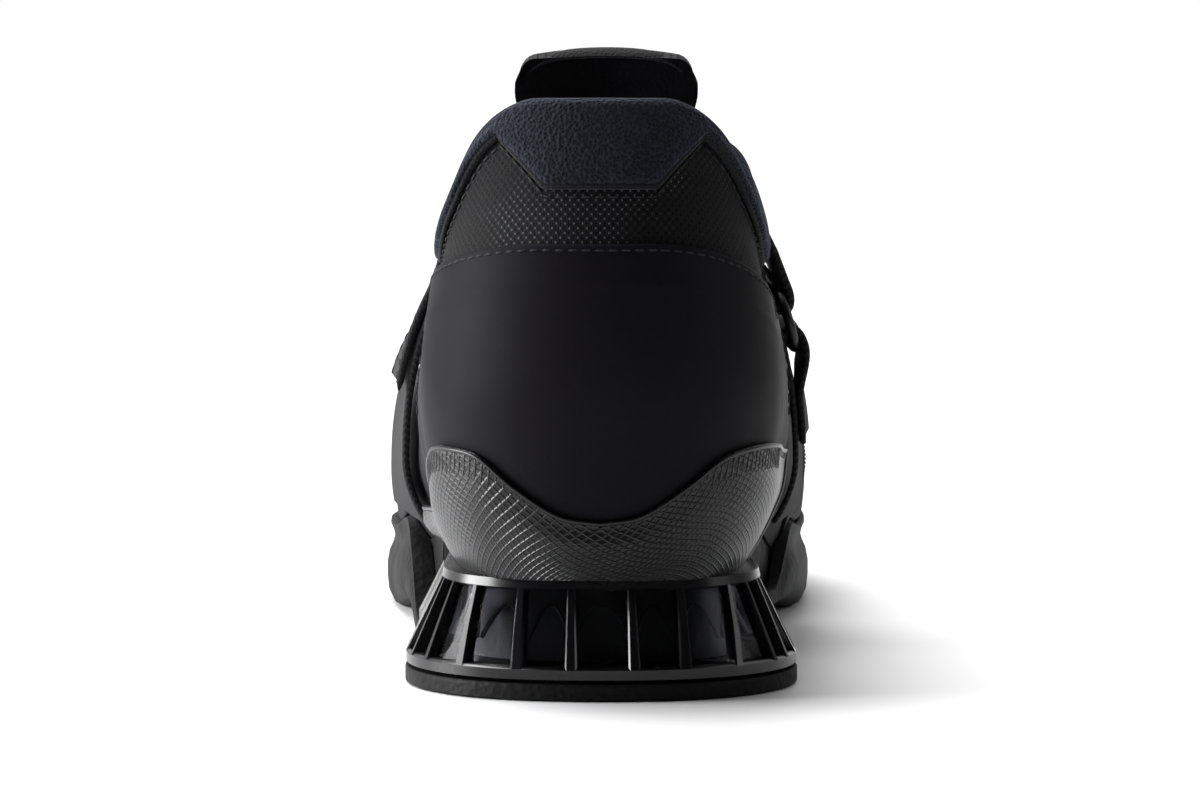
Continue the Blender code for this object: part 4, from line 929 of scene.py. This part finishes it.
def make_cuff():
    end = float(place_of(THROAT_TOP))
    places = np.concatenate([np.linspace(-end, 0, 150), np.linspace(0, end, 150)[1:]])
    side = np.where(places < 0, -1.0, 1.0)
    spot = np.abs(places)
    distance = along(spot)[0] * SOLE_LENGTH
    held = np.minimum(spot, end - 1e-4)
    edge = np.where(side < 0, edge_rise(held, -1), edge_rise(held, 1))
    top = last(spot, edge, side)
    up = unit(top - last(spot, edge - 0.02, side))
    out = unit(skin(spot, edge, side, 0.001) - top)
    roll = ease(distance, 0.040, 0.072) * (1 - 0.5 * ease(distance, 0.084, 0.092))
    fat = roll * np.where(side < 0, 0.0003, 0.0010)
    outer_drop = chevron_drop(spot) + roll * np.where(side < 0, 0.0070, 0.0100)
    inner_drop = np.minimum(CUFF_INSIDE, top[:, 2] - 0.055)
    bend = OVERLAY_GAP * ease(spot, end - 0.08, end)
    outer_bed = OVERLAY_GAP + bend
    inner_bed = -WALL - OVERLAY_GAP - bend
    pad = inner_bed - CUFF_PAD * (1 - 0.92 * ease(spot, end - 0.07, end - 0.01))
    skin_out = outer_bed + CUFF_SKIN + fat
    middle = (skin_out + pad) / 2
    radius = (skin_out - pad) / 2

    def wall(drop, depth):
        return skin(spot, rise_at_height(spot, side, top[:, 2] - drop), side, depth)

    front = []
    bed = []
    for share in (1.0, 0.985, 0.95, 0.88, 0.78, 0.66, 0.54, 0.42, 0.3, 0.2, 0.1):
        thick = 0.25 + 0.75 * min((1 - share) / 0.06, 1.0) ** 0.5
        puff = (0.0005 + fat * 0.9) * math.sin(math.pi * share) + fat * (1 - share) ** 0.6
        front.append(wall(outer_drop * share, outer_bed + CUFF_SKIN * thick + puff))
        bed.append(wall(outer_drop * share, outer_bed))
    for angle in range(0, 181, 10):
        turn = math.radians(angle)
        reach = (middle + radius * math.cos(turn))[:, None]
        front.append(top + out * reach + up * (OVERLAY_GAP + (0.003 + 0.3 * fat)[:, None] * math.sin(turn)))
        bed.append(top + out * mix(outer_bed, inner_bed, angle / 180)[:, None] + up * OVERLAY_GAP)
    for share in (0.12, 0.25, 0.4, 0.55, 0.7, 0.82, 0.9, 0.96, 1.0):
        fall = ease(share, 0.45, 1.0)
        depth = mix(pad, inner_bed, 0.9 * fall) + (pad - inner_bed) * 0.25 * math.sin(math.pi * share)
        front.append(wall(inner_drop * share, depth))
        bed.append(wall(inner_drop * share, inner_bed))
    grid = np.stack(front, axis=1), np.stack(bed, axis=1)
    shell("collar_padding", [grid], ["lining"], ("collar_cuff",), angle=60)
    keep = distance < 0.088
    size = mix(0.00055, 0.0008, 1 - ease(spot[keep] * FULL_GIRTH, 0.03, 0.06))
    edge_run = lifted(lambda lift: wall(outer_drop, lift)[keep], outer_bed + 0.0004)
    tube_piece("collar_piping", [(*edge_run, size)], "binding", "collar_cuff")
    seam = lifted(lambda lift: wall(outer_drop + 0.0022, lift)[distance < 0.07], OVERLAY_GAP * 0.2)
    stitch_piece("collar_stitches", [seam])


def tongue_frame(t):
    """Middle, outward way, half width, droop at the sides and thickness of the tongue, foot 0 to top 1."""
    rows = np.array(TONGUE_ROWS)
    columns = [curve(np.linspace(0, 1, len(rows)), column) for column in rows.T]
    along_run, height, half, drop, thick = [column(t) for column in columns]
    ahead = np.clip(t + 0.01, 0, 1)
    behind = np.clip(t - 0.01, 0, 1)
    run = columns[0](ahead) - columns[0](behind)
    climb = (columns[1](ahead) - columns[1](behind)) * TONGUE_HEIGHT
    out = unit(points(0.0, climb, -run))
    middle = points(0.0008, along_run, height * TONGUE_HEIGHT)
    return middle, out, half * TONGUE_WIDTH * mix(1.0, 0.955, ease(t, 0.8, 1.0)), drop, thick * TONGUE_THICKNESS


def make_tongue():
    t = np.linspace(0, 1, 90)
    middle, out, half, drop, thick = tongue_frame(t)
    across = np.sin(np.linspace(-1, 1, 34) * np.pi / 2)
    arm = points(half[:, None] * across, 0.0, 0.0)
    fall = drop[:, None] * across ** 2
    body = thick[:, None] * (1 - 0.75 * np.abs(across) ** 3)
    reach = np.clip((np.abs(across) - 0.82) / 0.18, 0, 1)
    arm[..., 2] -= np.clip((t - 0.90) / 0.10, 0, 1)[:, None] * 0.0040 * (1 - np.sqrt(1 - reach ** 2))
    front = middle[:, None] + arm - out[:, None] * fall[..., None]
    back = middle[:, None] + arm - out[:, None] * (fall + body)[..., None]
    shell("tongue_pad", [(front, back)], ["rib_knit", "tongue_inside"], ("tongue",), inside=1)

    def around(grid):
        return np.concatenate([grid[8:-2, 0], grid[-1, 1:-1], grid[8:-2, -1][::-1]])

    path = around((front + back) / 2)
    size = around(np.linalg.norm(front - back, axis=-1) / 2) + 0.0004
    run = run_of(path)
    spots = np.linspace(0, run[-1], 150)
    size = np.interp(spots, run, size)
    path = at_spots(path, run, spots)
    for _ in range(14):
        path[1:-1] = (path[:-2] + path[2:] + 2 * path[1:-1]) / 4
        size[1:-1] = (size[:-2] + size[2:] + 2 * size[1:-1]) / 4
    binding = (path, points(0.0, 1.0, 0.35), 0.0008, np.clip(size, 0.0011, 0.0034))
    tube_piece("tongue_binding", [binding], "binding", "tongue", sides=12)
    lines = [(front[10:-4, column], out[10:-4]) for column in (3, -4)]
    stitch_piece("tongue_stitches", lines + [(front[-4, 3:-3], out[-4])])


# The sole's side from the floor up: share of its height, and how far in it lies at the heel and in front
SOLE_PROFILE = (
    (0.00, 0.0012, 0.0030), (0.05, 0.0004, 0.0012), (0.14, 0.0, 0.0003), (0.30, 0.0, 0.0), (0.45, 0.0, 0.0),
    (0.58, 0.0, 0.0005), (0.68, 0.0, 0.0014), (0.77, 0.0, 0.0019), (0.86, 0.0, 0.0016), (0.94, 0.0002, 0.0009),
    (0.985, 0.0003, 0.0010), (1.00, 0.0008, 0.0017),
)
TREAD_COLUMNS = 17
GROOVES = 0.60 * SOLE_LENGTH + 0.017 * np.arange(4)


def make_outsole():
    places = np.linspace(0.0, 1.0, 300)
    share, _ = along(places)
    centre = (OUTLINE["medial"](share) - OUTLINE["lateral"](share)) / 2
    tread = ground(share)
    grooved = np.abs(share[:, None] * SOLE_LENGTH - GROOVES).min(axis=1) < 0.00125

    def column(base, inward, height):
        return points(mix(base[:, 0], centre, inward), base[:, 1], height)

    bm, uv = start_mesh()
    for side in (-1, 1):
        wall = cup_wall(share, side)
        lip = lip_height(share, side)
        foot = outline(places, side, mix(0.0012, 0.0030, wall))
        rise = np.maximum(rise_at_height(places, side, lip), 0)
        cup = skin(places, rise, side, OVERLAY_GAP + 0.0014 * ease(share, 0.88, 1.0))
        start = SIDEWALL_START if side < 0 else SIDEWALL_MEDIAL_START
        inner = mix(outline(places, side, FLOOR_INSET), cup, ease(share, start - 0.05, start)[:, None])
        columns = [column(foot, step, tread + grooved * 0.0014) for step in np.linspace(1, 0, TREAD_COLUMNS + 1)[:-1]]
        columns += [column(outline(places, side, mix(heel, forefoot, wall)), 0.0, mix(tread, lip, height))
                    for height, heel, forefoot in SOLE_PROFILE]
        columns += [column(inner, 0.0, mix(tread + RUBBER, lip, level)) for level in (1.0, 0.6, 0.2, 0.0)]
        columns += [column(inner, step, tread + RUBBER) for step in (0.3, 0.65, 1.0)]
        grid = np.stack(columns, axis=1)
        under = grid[:, :TREAD_COLUMNS]
        add_grid(bm, uv, under, under[..., :2], np.ones(under.shape[:2]))
        add_grid(bm, uv, grid[:, TREAD_COLUMNS - 1:], flat_map(grid)[:, TREAD_COLUMNS - 1:])
    bmesh.ops.remove_doubles(bm, verts=bm.verts, dist=5e-6)
    loose = [face for face in bm.faces if face.calc_area() < 1e-12]
    bmesh.ops.delete(bm, geom=loose, context="FACES")
    place_piece("outsole_rubber", bm, ["rubber", "tread_rubber"], ("outsole",), 40)


def girth_point(distance, inset, height):
    """A point inside the heel's outline at a distance round it, negative on the lateral side."""
    distance = np.asarray(distance, float)
    point = outline(np.abs(distance) / FULL_GIRTH, np.where(distance < 0, -1.0, 1.0), inset)
    point[..., 2] = height
    return point


# Ribs behind: where each stands across the heel at its foot and at its head, and its half width
RIBS = (
    (-0.0422, -0.0338, 0.0007),
    (-0.0388, -0.0317, 0.0008),
    (-0.0311, -0.0269, 0.0012),
    (-0.0183, -0.0171, 0.0012),
    (-0.0064, -0.0063, 0.0009),
    (0.0076, 0.0067, 0.0009),
    (0.0189, 0.0172, 0.0012),
    (0.0307, 0.0275, 0.0010),
    (0.0388, 0.0313, 0.0008),
    (0.0415, 0.0335, 0.0007),
)


def rib_distance(across, inset):
    """Distance round the heel at which its outline is so far across."""
    distances = np.linspace(0, 0.062, 300) * np.sign(across)
    reach = np.abs(girth_point(distances, inset, 0.0)[:, 0])
    count = int(np.argmax(reach)) + 1
    return float(np.interp(abs(across), reach[:count], distances[:count]))


def make_cage():
    lateral_end = float(place_of(CAGE_LATERAL_END)) * FULL_GIRTH
    medial_end = float(place_of(CAGE_MEDIAL_END)) * FULL_GIRTH
    base = RUBBER + GAP
    rim = base + BASE_RIM
    flange = CAGE_TOP - FLANGE
    round_heel = np.concatenate([np.linspace(-lateral_end, 0, 110), np.linspace(0, medial_end, 100)[1:]])

    def ring_plate(name, levels, look, nodes=()):
        front = np.stack([girth_point(round_heel, inset, height) for inset, height in levels], axis=1)
        back = np.stack([girth_point(round_heel, 0.022, height) for _, height in levels], axis=1)
        shell(name, [(front, back)], [look], nodes)

    ring_plate("cage_base", [(0.0010, base), (0.0002, base + 0.0006), (0.0002, rim - 0.0006), (0.0009, rim)],
               "rib_gloss", ("heel_cage",))
    ring_plate("cage_flange", [(FLANGE_INSET - 0.0006, flange), (FLANGE_INSET - 0.0012, flange + 0.0005),
                               (FLANGE_INSET - 0.0008, CAGE_TOP - 0.0003), (FLANGE_INSET, CAGE_TOP)], "rib_gloss")
    ring_plate("cage_core", [(0.0125, rim - 0.0002), (0.0135, (rim + flange) / 2), (0.0145, flange + 0.0002)],
               "core_plastic")

    def pane(u, v, out):
        distance = mix(-lateral_end, medial_end, u)
        inset = mix(0.0034, FLANGE_INSET + 0.0012, v)
        return girth_point(distance, inset - out, mix(rim - 0.0003, flange + 0.0003, v))

    panel("cage_windows", pane, 0.0, 0.0009, lateral_end + medial_end, 0.016, (200, 8), "smoky_window",
          edge=0.0003)
    ends = girth_point(np.array([-lateral_end + 0.002, medial_end - 0.002]), 0.006, 0.0)
    part = np.linspace(0, 1, 12)[:, None]
    run = mix(ends[0], ends[1], part)
    levels = np.linspace(rim - 0.0002, flange + 0.0002, 6)
    face = np.stack([points(run[:, 0], run[:, 1], level) for level in levels], axis=1)
    ahead = face + points(0.0, mix(0.0026, 0.0014, part), 0.0)
    shell("cage_front", [(face - points(0.0, 0.002, 0.0), ahead)], ["rib_gloss"])

    bm, _ = start_mesh()
    feet = []
    for sign, end in ((-1, lateral_end), (1, medial_end)):
        ribs = [(rib_distance(foot, 0.0002), rib_distance(head, FLANGE_INSET), half)
                for foot, head, half in RIBS if foot * sign > 0]
        last_foot = max(abs(foot) for foot, _, _ in ribs)
        for spot in np.arange(last_foot + RIB_PITCH, end - 0.002, RIB_PITCH):
            ribs.append((sign * spot, sign * (spot - 0.0006), 0.0008))
        ribs.append((sign * (end - 0.0012), sign * (end - 0.0012), 0.0010))
        feet += [foot for foot, _, _ in ribs]
        for foot, head, half in ribs:
            rings = []
            for part, inset in ((0.0, 0.0002), (0.5, 0.0044), (1.0, FLANGE_INSET - 0.0010)):
                height = mix(rim - 0.0006, flange + 0.0006, part)
                middle = mix(foot, head, part)
                span = half * mix(1.2, 0.9, part)
                rings.append([bm.verts.new(girth_point(middle + span * step, inset + depth, height))
                              for step, depth in ((-1, 0.0032), (-1, 0.0004), (-0.7, 0.0),
                                                  (0.7, 0.0), (1, 0.0004), (1, 0.0032))])
            join_rings(bm, rings)
            bm.faces.new(rings[0][::-1])
            bm.faces.new(rings[-1])
    place_piece("cage_ribs", bm, ["rib_gloss"], (), 30)

    arches = []
    feet.sort()
    rise = 0.78 * np.sin(np.pi * np.linspace(0.06, 0.94, 16)) ** 0.55
    inset = mix(0.0048, FLANGE_INSET + 0.0026, rise)
    for left, right in zip(feet, feet[1:]):
        if right - left >= 0.005:
            distance = mix(left, right, np.linspace(0.06, 0.94, 16))
            arch = lifted(lambda out: girth_point(distance, inset - out, mix(rim, flange, rise)), 0.0)
            arches.append((*arch, 0.0005))
    tube_piece("cage_arches", arches, "core_plastic", "heel_cage", sides=6)


def make_stay():
    last_place = float(place_of(THROAT_FRONT))
    front_place = float(place_of(THROAT_FRONT + STAY_WIDTH * 0.8))
    begin = float(place_of(THROAT_TOP)) + 0.001
    places = np.concatenate([np.linspace(begin, last_place, 90), np.linspace(last_place, front_place, 18)[1:]])
    held = np.minimum(places, last_place)
    over = np.clip((places - last_place) / (front_place - last_place), 0, 1)
    v = spread(14, STAY_WIDTH, 0.001)
    distance = np.minimum(v, np.where(places[:, None] < last_place, 1 - v, 1.0)) * STAY_WIDTH
    out = OVERLAY_GAP + PANEL * crown(distance, 0.001)
    grids = []
    lines = []
    for side in (-1, 1):
        foot = edge_rise(held, side)
        start = last(held, foot, side)
        for _ in range(150):
            near = np.linalg.norm(last(held, foot, side) - start, axis=-1) < STAY_WIDTH
            foot = np.where(near & (foot > 0.4), foot - 0.004, foot)
        rise = mix(mix(foot, 1.0, over * over)[:, None], edge_rise(places, side)[:, None], v)
        front = skin(places[:, None], rise, side, out)
        bed = skin(places[:, None], rise, side, OVERLAY_GAP)
        grids.append((front, bed))
        lines += [(front[2:86, column], unit(front - bed)[2:86, column]) for column in (8, -9)]
    shell("throat_stay", grids, ["smooth_panel"], ("eyestay",))
    stitch_piece("throat_stay_stitches", lines)


def eyelet_spot(row, side):
    place = float(place_of(mix(THROAT_TOP + 0.013, THROAT_FRONT - 0.014, row / (EYELET_ROWS - 1))))
    rise = float(edge_rise(place, side))
    start = last(place, rise, side)
    while np.linalg.norm(last(place, rise, side) - start) < EYELET_EDGE:
        rise -= 0.002
    return place, rise


def make_eyelets():
    foot = OVERLAY_GAP + PANEL + 0.0001
    profile = ((EYELET_RADIUS, 0.0), (EYELET_RADIUS + 0.0001, 0.0003), (EYELET_RADIUS - 0.0002, 0.0006),
               (0.0027, 0.0009), (0.0022, 0.0008), (EYELET_HOLE, 0.0004), (EYELET_HOLE, 0.0))
    for side, side_name in ((-1, "lateral"), (1, "medial")):
        for row in range(EYELET_ROWS):
            place, rise = eyelet_spot(row, side)
            centre = Vector(skin(place, rise, side, foot))
            normal = (Vector(skin(place, rise, side, foot + 0.001)) - centre).normalized()
            turn = normal.to_track_quat("Z", "Y")
            bm, _ = start_mesh()
            rings = []
            for angle in np.arange(28) * math.tau / 28:
                arm = Vector((math.cos(angle), math.sin(angle), 0))
                rings.append([bm.verts.new(centre + turn @ (arm * radius + Vector((0, 0, height))))
                              for radius, height in profile])
            join_rings(bm, rings + rings[:1])
            name = f"eyelet_{side_name}_{row + 1}"
            place_piece(f"{name}_ring", bm, ["eyelet_metal"], (name,))


def strap_seat(across):
    over = 1 - ease(np.abs(across), LACED_SHARE, LACED_SHARE + LACED_FALL)
    return mix(2 * OVERLAY_GAP + PANEL, STRAP_OVER_LACES, over)


def instep(place, across, lift):
    """Points over the instep. across is negative on the lateral side and 0 at the ridge."""
    return skin(place, 1 - np.abs(across), np.where(across < 0, -1.0, 1.0), lift)


def make_laces():
    spots = []
    for row in range(EYELET_ROWS):
        pair = []
        for side in (-1, 1):
            place, rise = eyelet_spot(row, side)
            pair.append((place, side * (1 - rise)))
        spots.append(pair)
    strands = [(*spots[-1], 0.0)]
    for upper, lower in zip(spots, spots[1:]):
        strands += [(upper[0], lower[1], 0.0), (upper[1], lower[0], 0.00135)]
    t = np.linspace(0, 1, 40)
    dive = np.minimum(ease(t, 0.0, 0.09), ease(1 - t, 0.0, 0.09))
    wide = mix(0.0013, LACE_WIDTH / 2, dive) * (1 - 0.05 * np.sin(t * 40))
    bm, uv = start_mesh()
    for start, end, hump in strands:
        lift = mix(0.0020, LACE_SEAT + LACE_THICKNESS / 2, dive) + hump * np.sin(np.pi * t) ** 4
        run = lifted(lambda lift: instep(mix(start[0], end[0], t), mix(start[1], end[1], t), lift), lift)
        add_tube(bm, *run, wide, mix(0.0006, LACE_THICKNESS * 0.42, dive), sides=12)
    for face in bm.faces:
        for loop in face.loops:
            loop[uv].uv = (loop.vert.co.x + loop.vert.co.y * 0.4, loop.vert.co.y)
    place_piece("lace_strands", bm, ["lace"], ("laces",))


def band(name, foot, fold_height, tip, tip_lift, closing, thickness, node):
    """A folded band of webbing round a bar, as in the frame. Returns its middle surface and its normals."""
    u = spread(24, STRAP_WIDTH, 0.0006)
    place = place_of(STRAP_MIDDLE - STRAP_WIDTH / 2 + STRAP_WIDTH * u)[:, None]
    start, fold, end = [side * (1 - rise_at_height(place, side, height))
                        for side, height in (foot, (1, fold_height), tip)]
    across_up = mix(start, fold, np.linspace(0, 1, 90))
    lift_up = strap_seat(across_up) + thickness / 2
    turn = np.radians(np.linspace(-75, 75, 14))
    across_fold = fold + np.where(fold > start, 1.0, -1.0) * STRAP_FOLD * np.cos(turn) / HALF_GIRTH
    lift_fold = strap_seat(fold) + thickness / 2 + STRAP_FOLD * (1 + np.sin(turn))
    back = np.linspace(0, 1, 80)
    across_back = mix(fold, end, back)
    apart = mix(2 * STRAP_FOLD, thickness + 0.0004, ease(np.abs(across_back - fold), 0.0, closing))
    lift_back = strap_seat(across_back) + thickness / 2 + apart + tip_lift * ease(back, 0.8, 1.0)
    across = np.concatenate([across_up, across_fold, across_back], axis=1)
    middle = instep(place, across, np.concatenate([lift_up, lift_fold, lift_back], axis=1))
    normal = unit(np.cross(np.gradient(middle, axis=0), np.gradient(middle, axis=1)))
    steps = np.arange(across.shape[1])
    distance = np.minimum(np.minimum(u, 1 - u)[:, None] * STRAP_WIDTH, np.minimum(steps, steps[::-1]) * 0.001)
    half = (thickness / 2 * crown(distance, 0.0007))[..., None]
    shell(name, [(middle + normal * half, middle - normal * half)], ["webbing"], (node,), angle=60)
    return middle, normal


def make_strap():
    middle, normal = band("strap_band", (-1, STRAP_FOOT), RING_HEIGHT, (-1, STRAP_TIP), TIP_LIFT, 0.18,
                          STRAP_THICKNESS, "strap")
    webbing, webbing_normal = band("ring_webbing", (1, STRAP_FOOT), RING_HEIGHT - RING_DEPTH, (1, ANCHOR_TIP), 0.0,
                                   0.08, WEBBING_THICKNESS, "ring_anchor")
    sign = 1 if (middle[12, 150] - middle[12, 60]) @ normal[12, 150] > 0 else -1
    over = middle + normal * STRAP_THICKNESS / 2 * sign, normal * sign
    under = webbing + webbing_normal * WEBBING_THICKNESS / 2 * sign, webbing_normal * sign
    lines = [[part[column, 108:] for part in over] for column in (6, -7)]
    lines += [[part[6:-6, row] for part in over] for row in (-4, 112)]
    lines += [[part[5:-5, row] for part in under] for row in (-3, -8, -16)]
    stitch_piece("strap_stitches", lines, radius=0.00018)


def make_ring():
    def bar(height, thickness):
        place = place_of(STRAP_MIDDLE + np.linspace(-0.5, 0.5, 15) * RING_LENGTH)
        rise = rise_at_height(place, 1, height)
        return skin(place, rise, 1, strap_seat(1 - rise) + thickness / 2 + STRAP_FOLD)

    upper = bar(RING_HEIGHT, STRAP_THICKNESS)
    lower = bar(RING_HEIGHT - RING_DEPTH, WEBBING_THICKNESS)
    part = np.array([[0.25], [0.5], [0.75]])
    path = np.concatenate([upper[1:-1], mix(upper[-1], lower[-1], part), lower[1:-1][::-1],
                           mix(lower[0], upper[0], part)])
    for _ in range(2):
        path = (np.roll(path, 1, axis=0) + np.roll(path, -1, axis=0) + 2 * path) / 4
    out = unit(np.cross(upper[-1] - upper[0], lower[7] - upper[7]))
    tube_piece("ring_bar", [(path, out, RING_BAR, RING_BAR * 0.9)], "clip_edge", "strap_ring", ("strap_ring",),
               sides=12, closed=True)


def make_toe_cap():
    v = np.append(spread(26, 0.05, 0.001)[:-4], 1.0)
    u = np.append(spread(40, 0.06, 0.001)[:-4], 1.0)[:, None]
    rise = mix(0.42, 1.0, v)[None, :]
    place = mix(place_of(TOE_CAP_START + 0.012 * ease(rise, 0.4, 1.0)), 1.0, u)
    out = OVERLAY_GAP + PANEL * crown(np.minimum(v * 0.05, u * 0.06), 0.001)
    grids = []
    lines = []
    for side in (-1, 1):
        front = skin(place, rise, side, out)
        bed = skin(place, rise, side, OVERLAY_GAP)
        away = unit(front - bed)
        grids.append((front, bed))
        lines += [(front[row, 6:], away[row, 6:]) for row in (8, 12)] + [(front[6:, 8], away[6:, 8])]
    shell("toe_panel", grids, ["smooth_panel"], ("toe_cap",))
    stitch_piece("toe_panel_stitches", lines)


def make_overlays():
    """Low smooth bands beside the ball, with stitched edges, and vent holes above them."""
    lines = []
    holes = []
    for side, side_name in ((-1, "lateral"), (1, "medial")):
        def surface(u, v, out, side=side):
            distance = mix(BAND_START, BAND_END, u)
            place = place_of(distance)
            foot = lip_height(distance / SOLE_LENGTH, side) + 0.001
            tall = 0.0165 * np.sin(np.pi * (0.10 + 0.80 * u)) ** 0.6 - 0.004 * np.sin(np.pi * u * 2)
            return skin(place, rise_at_height(place, side, foot + tall * v), side, out)

        panel(f"side_band_{side_name}", surface, 0.0001, 0.0009, BAND_END - BAND_START, 0.015, (90, 16),
              "smooth_panel")
        lines.append(lifted(lambda out: surface(np.linspace(0.02, 0.98, 120), 0.90, out), 0.001))
        for row in range(3):
            for step in range(6 - row):
                distance = VENT_START + VENT_PITCH * (step + row / 2)
                place = float(place_of(distance))
                height = float(lip_height(distance / SOLE_LENGTH, side)) + VENT_LIFT + VENT_ROW * row
                path = skin(place, rise_at_height(place, side, height), side, np.array([-0.0002, 0.0002]))
                holes.append((path, points(0.0, 1.0, 0.3), 0.0008))
    stitch_piece("side_band_stitches", lines)
    # painted shade: each vent hole is a thin dark disc standing in for the shade inside the perforation
    tube_piece("vent_holes", holes, "tongue_inside", "upper", sides=12, round_ends=False)


def dress_nodes():
    for name, look in (("midsole", "foam"), ("insole", "inner_lining")):
        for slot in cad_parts[name].material_slots:
            slot.material = LOOKS[look]


def make_stage():
    bpy.ops.mesh.primitive_plane_add(size=12, location=(0, 0, 0))
    floor = bpy.context.object
    floor.name = "floor"
    pale = bpy.data.materials.new("pale_floor")
    pale.use_nodes = True
    shader = pale.node_tree.nodes["Principled BSDF"]
    shader.inputs["Base Color"].default_value = (0.84, 0.84, 0.85, 1)
    shader.inputs["Roughness"].default_value = 0.55
    floor.data.materials.append(pale)


def make_light():
    """A bright world in front of the shoe and to its left, two soft boxes and a soft sun."""
    world = bpy.data.worlds.new("studio")
    bpy.context.scene.world = world
    world.use_nodes = True
    nodes = world.node_tree.nodes
    link = world.node_tree.links.new
    parts = nodes.new("ShaderNodeSeparateXYZ")
    link(nodes.new("ShaderNodeTexCoord").outputs["Generated"], parts.inputs[0])
    both = nodes.new("ShaderNodeMath")
    both.operation = "MULTIPLY"
    for number, (axis, *limits) in enumerate((("Y", -0.40, 0.75, 0.04, 1.0), ("X", 0.25, 0.80, 1.0, 0.18))):
        fade = nodes.new("ShaderNodeMapRange")
        fade.interpolation_type = "SMOOTHSTEP"
        for key, value in zip(("From Min", "From Max", "To Min", "To Max"), limits):
            fade.inputs[key].default_value = value
        link(parts.outputs[axis], fade.inputs["Value"])
        link(fade.outputs["Result"], both.inputs[number])
    link(both.outputs[0], nodes["Background"].inputs["Strength"])
    nodes["Background"].inputs["Color"].default_value = (1.0, 1.0, 1.0, 1)
    for name, kind, spot, aim, power in (
            ("left_box", "AREA", (-1.35, -0.08, 0.24), (0, -0.10, 0.05), 60),
            ("right_box", "AREA", (1.6, -0.15, 0.8), (0, 0, 0.06), 5),
            ("high_sun", "SUN", (-0.45, 0.65, 1.6), (0, 0, 0.05), 3.4)):
        light = bpy.data.lights.new(name, kind)
        light.energy = power
        if kind == "AREA":
            light.size = 0.9
        else:
            light.angle = math.radians(35)
        aim_from(bpy.data.objects.new(name, light), Vector(spot), Vector(aim))
    bpy.context.scene.view_settings.view_transform = "Standard"


def aim_from(holder, spot, aim):
    holder.location = spot
    holder.rotation_euler = (aim - spot).to_track_quat("-Z", "Y").to_euler()
    bpy.context.scene.collection.objects.link(holder)


def make_camera():
    camera = bpy.data.cameras.new("camera")
    camera.lens = 174
    camera.sensor_width = 36
    camera.clip_end = 50
    holder = bpy.data.objects.new("camera", camera)
    aim_from(holder, Vector((0.0095, -1.251, 0.168)) + SHIFT, Vector((0.0, 0.0, 0.066)) + SHIFT)
    bpy.context.scene.camera = holder


for make in (make_looks, make_camera, make_stage, make_light, make_upper, make_counter, make_cuff, make_tongue,
             make_clip, make_cage, make_outsole, make_stay, make_toe_cap, make_overlays, make_eyelets, make_laces,
             make_strap, make_ring, dress_nodes):
    make()
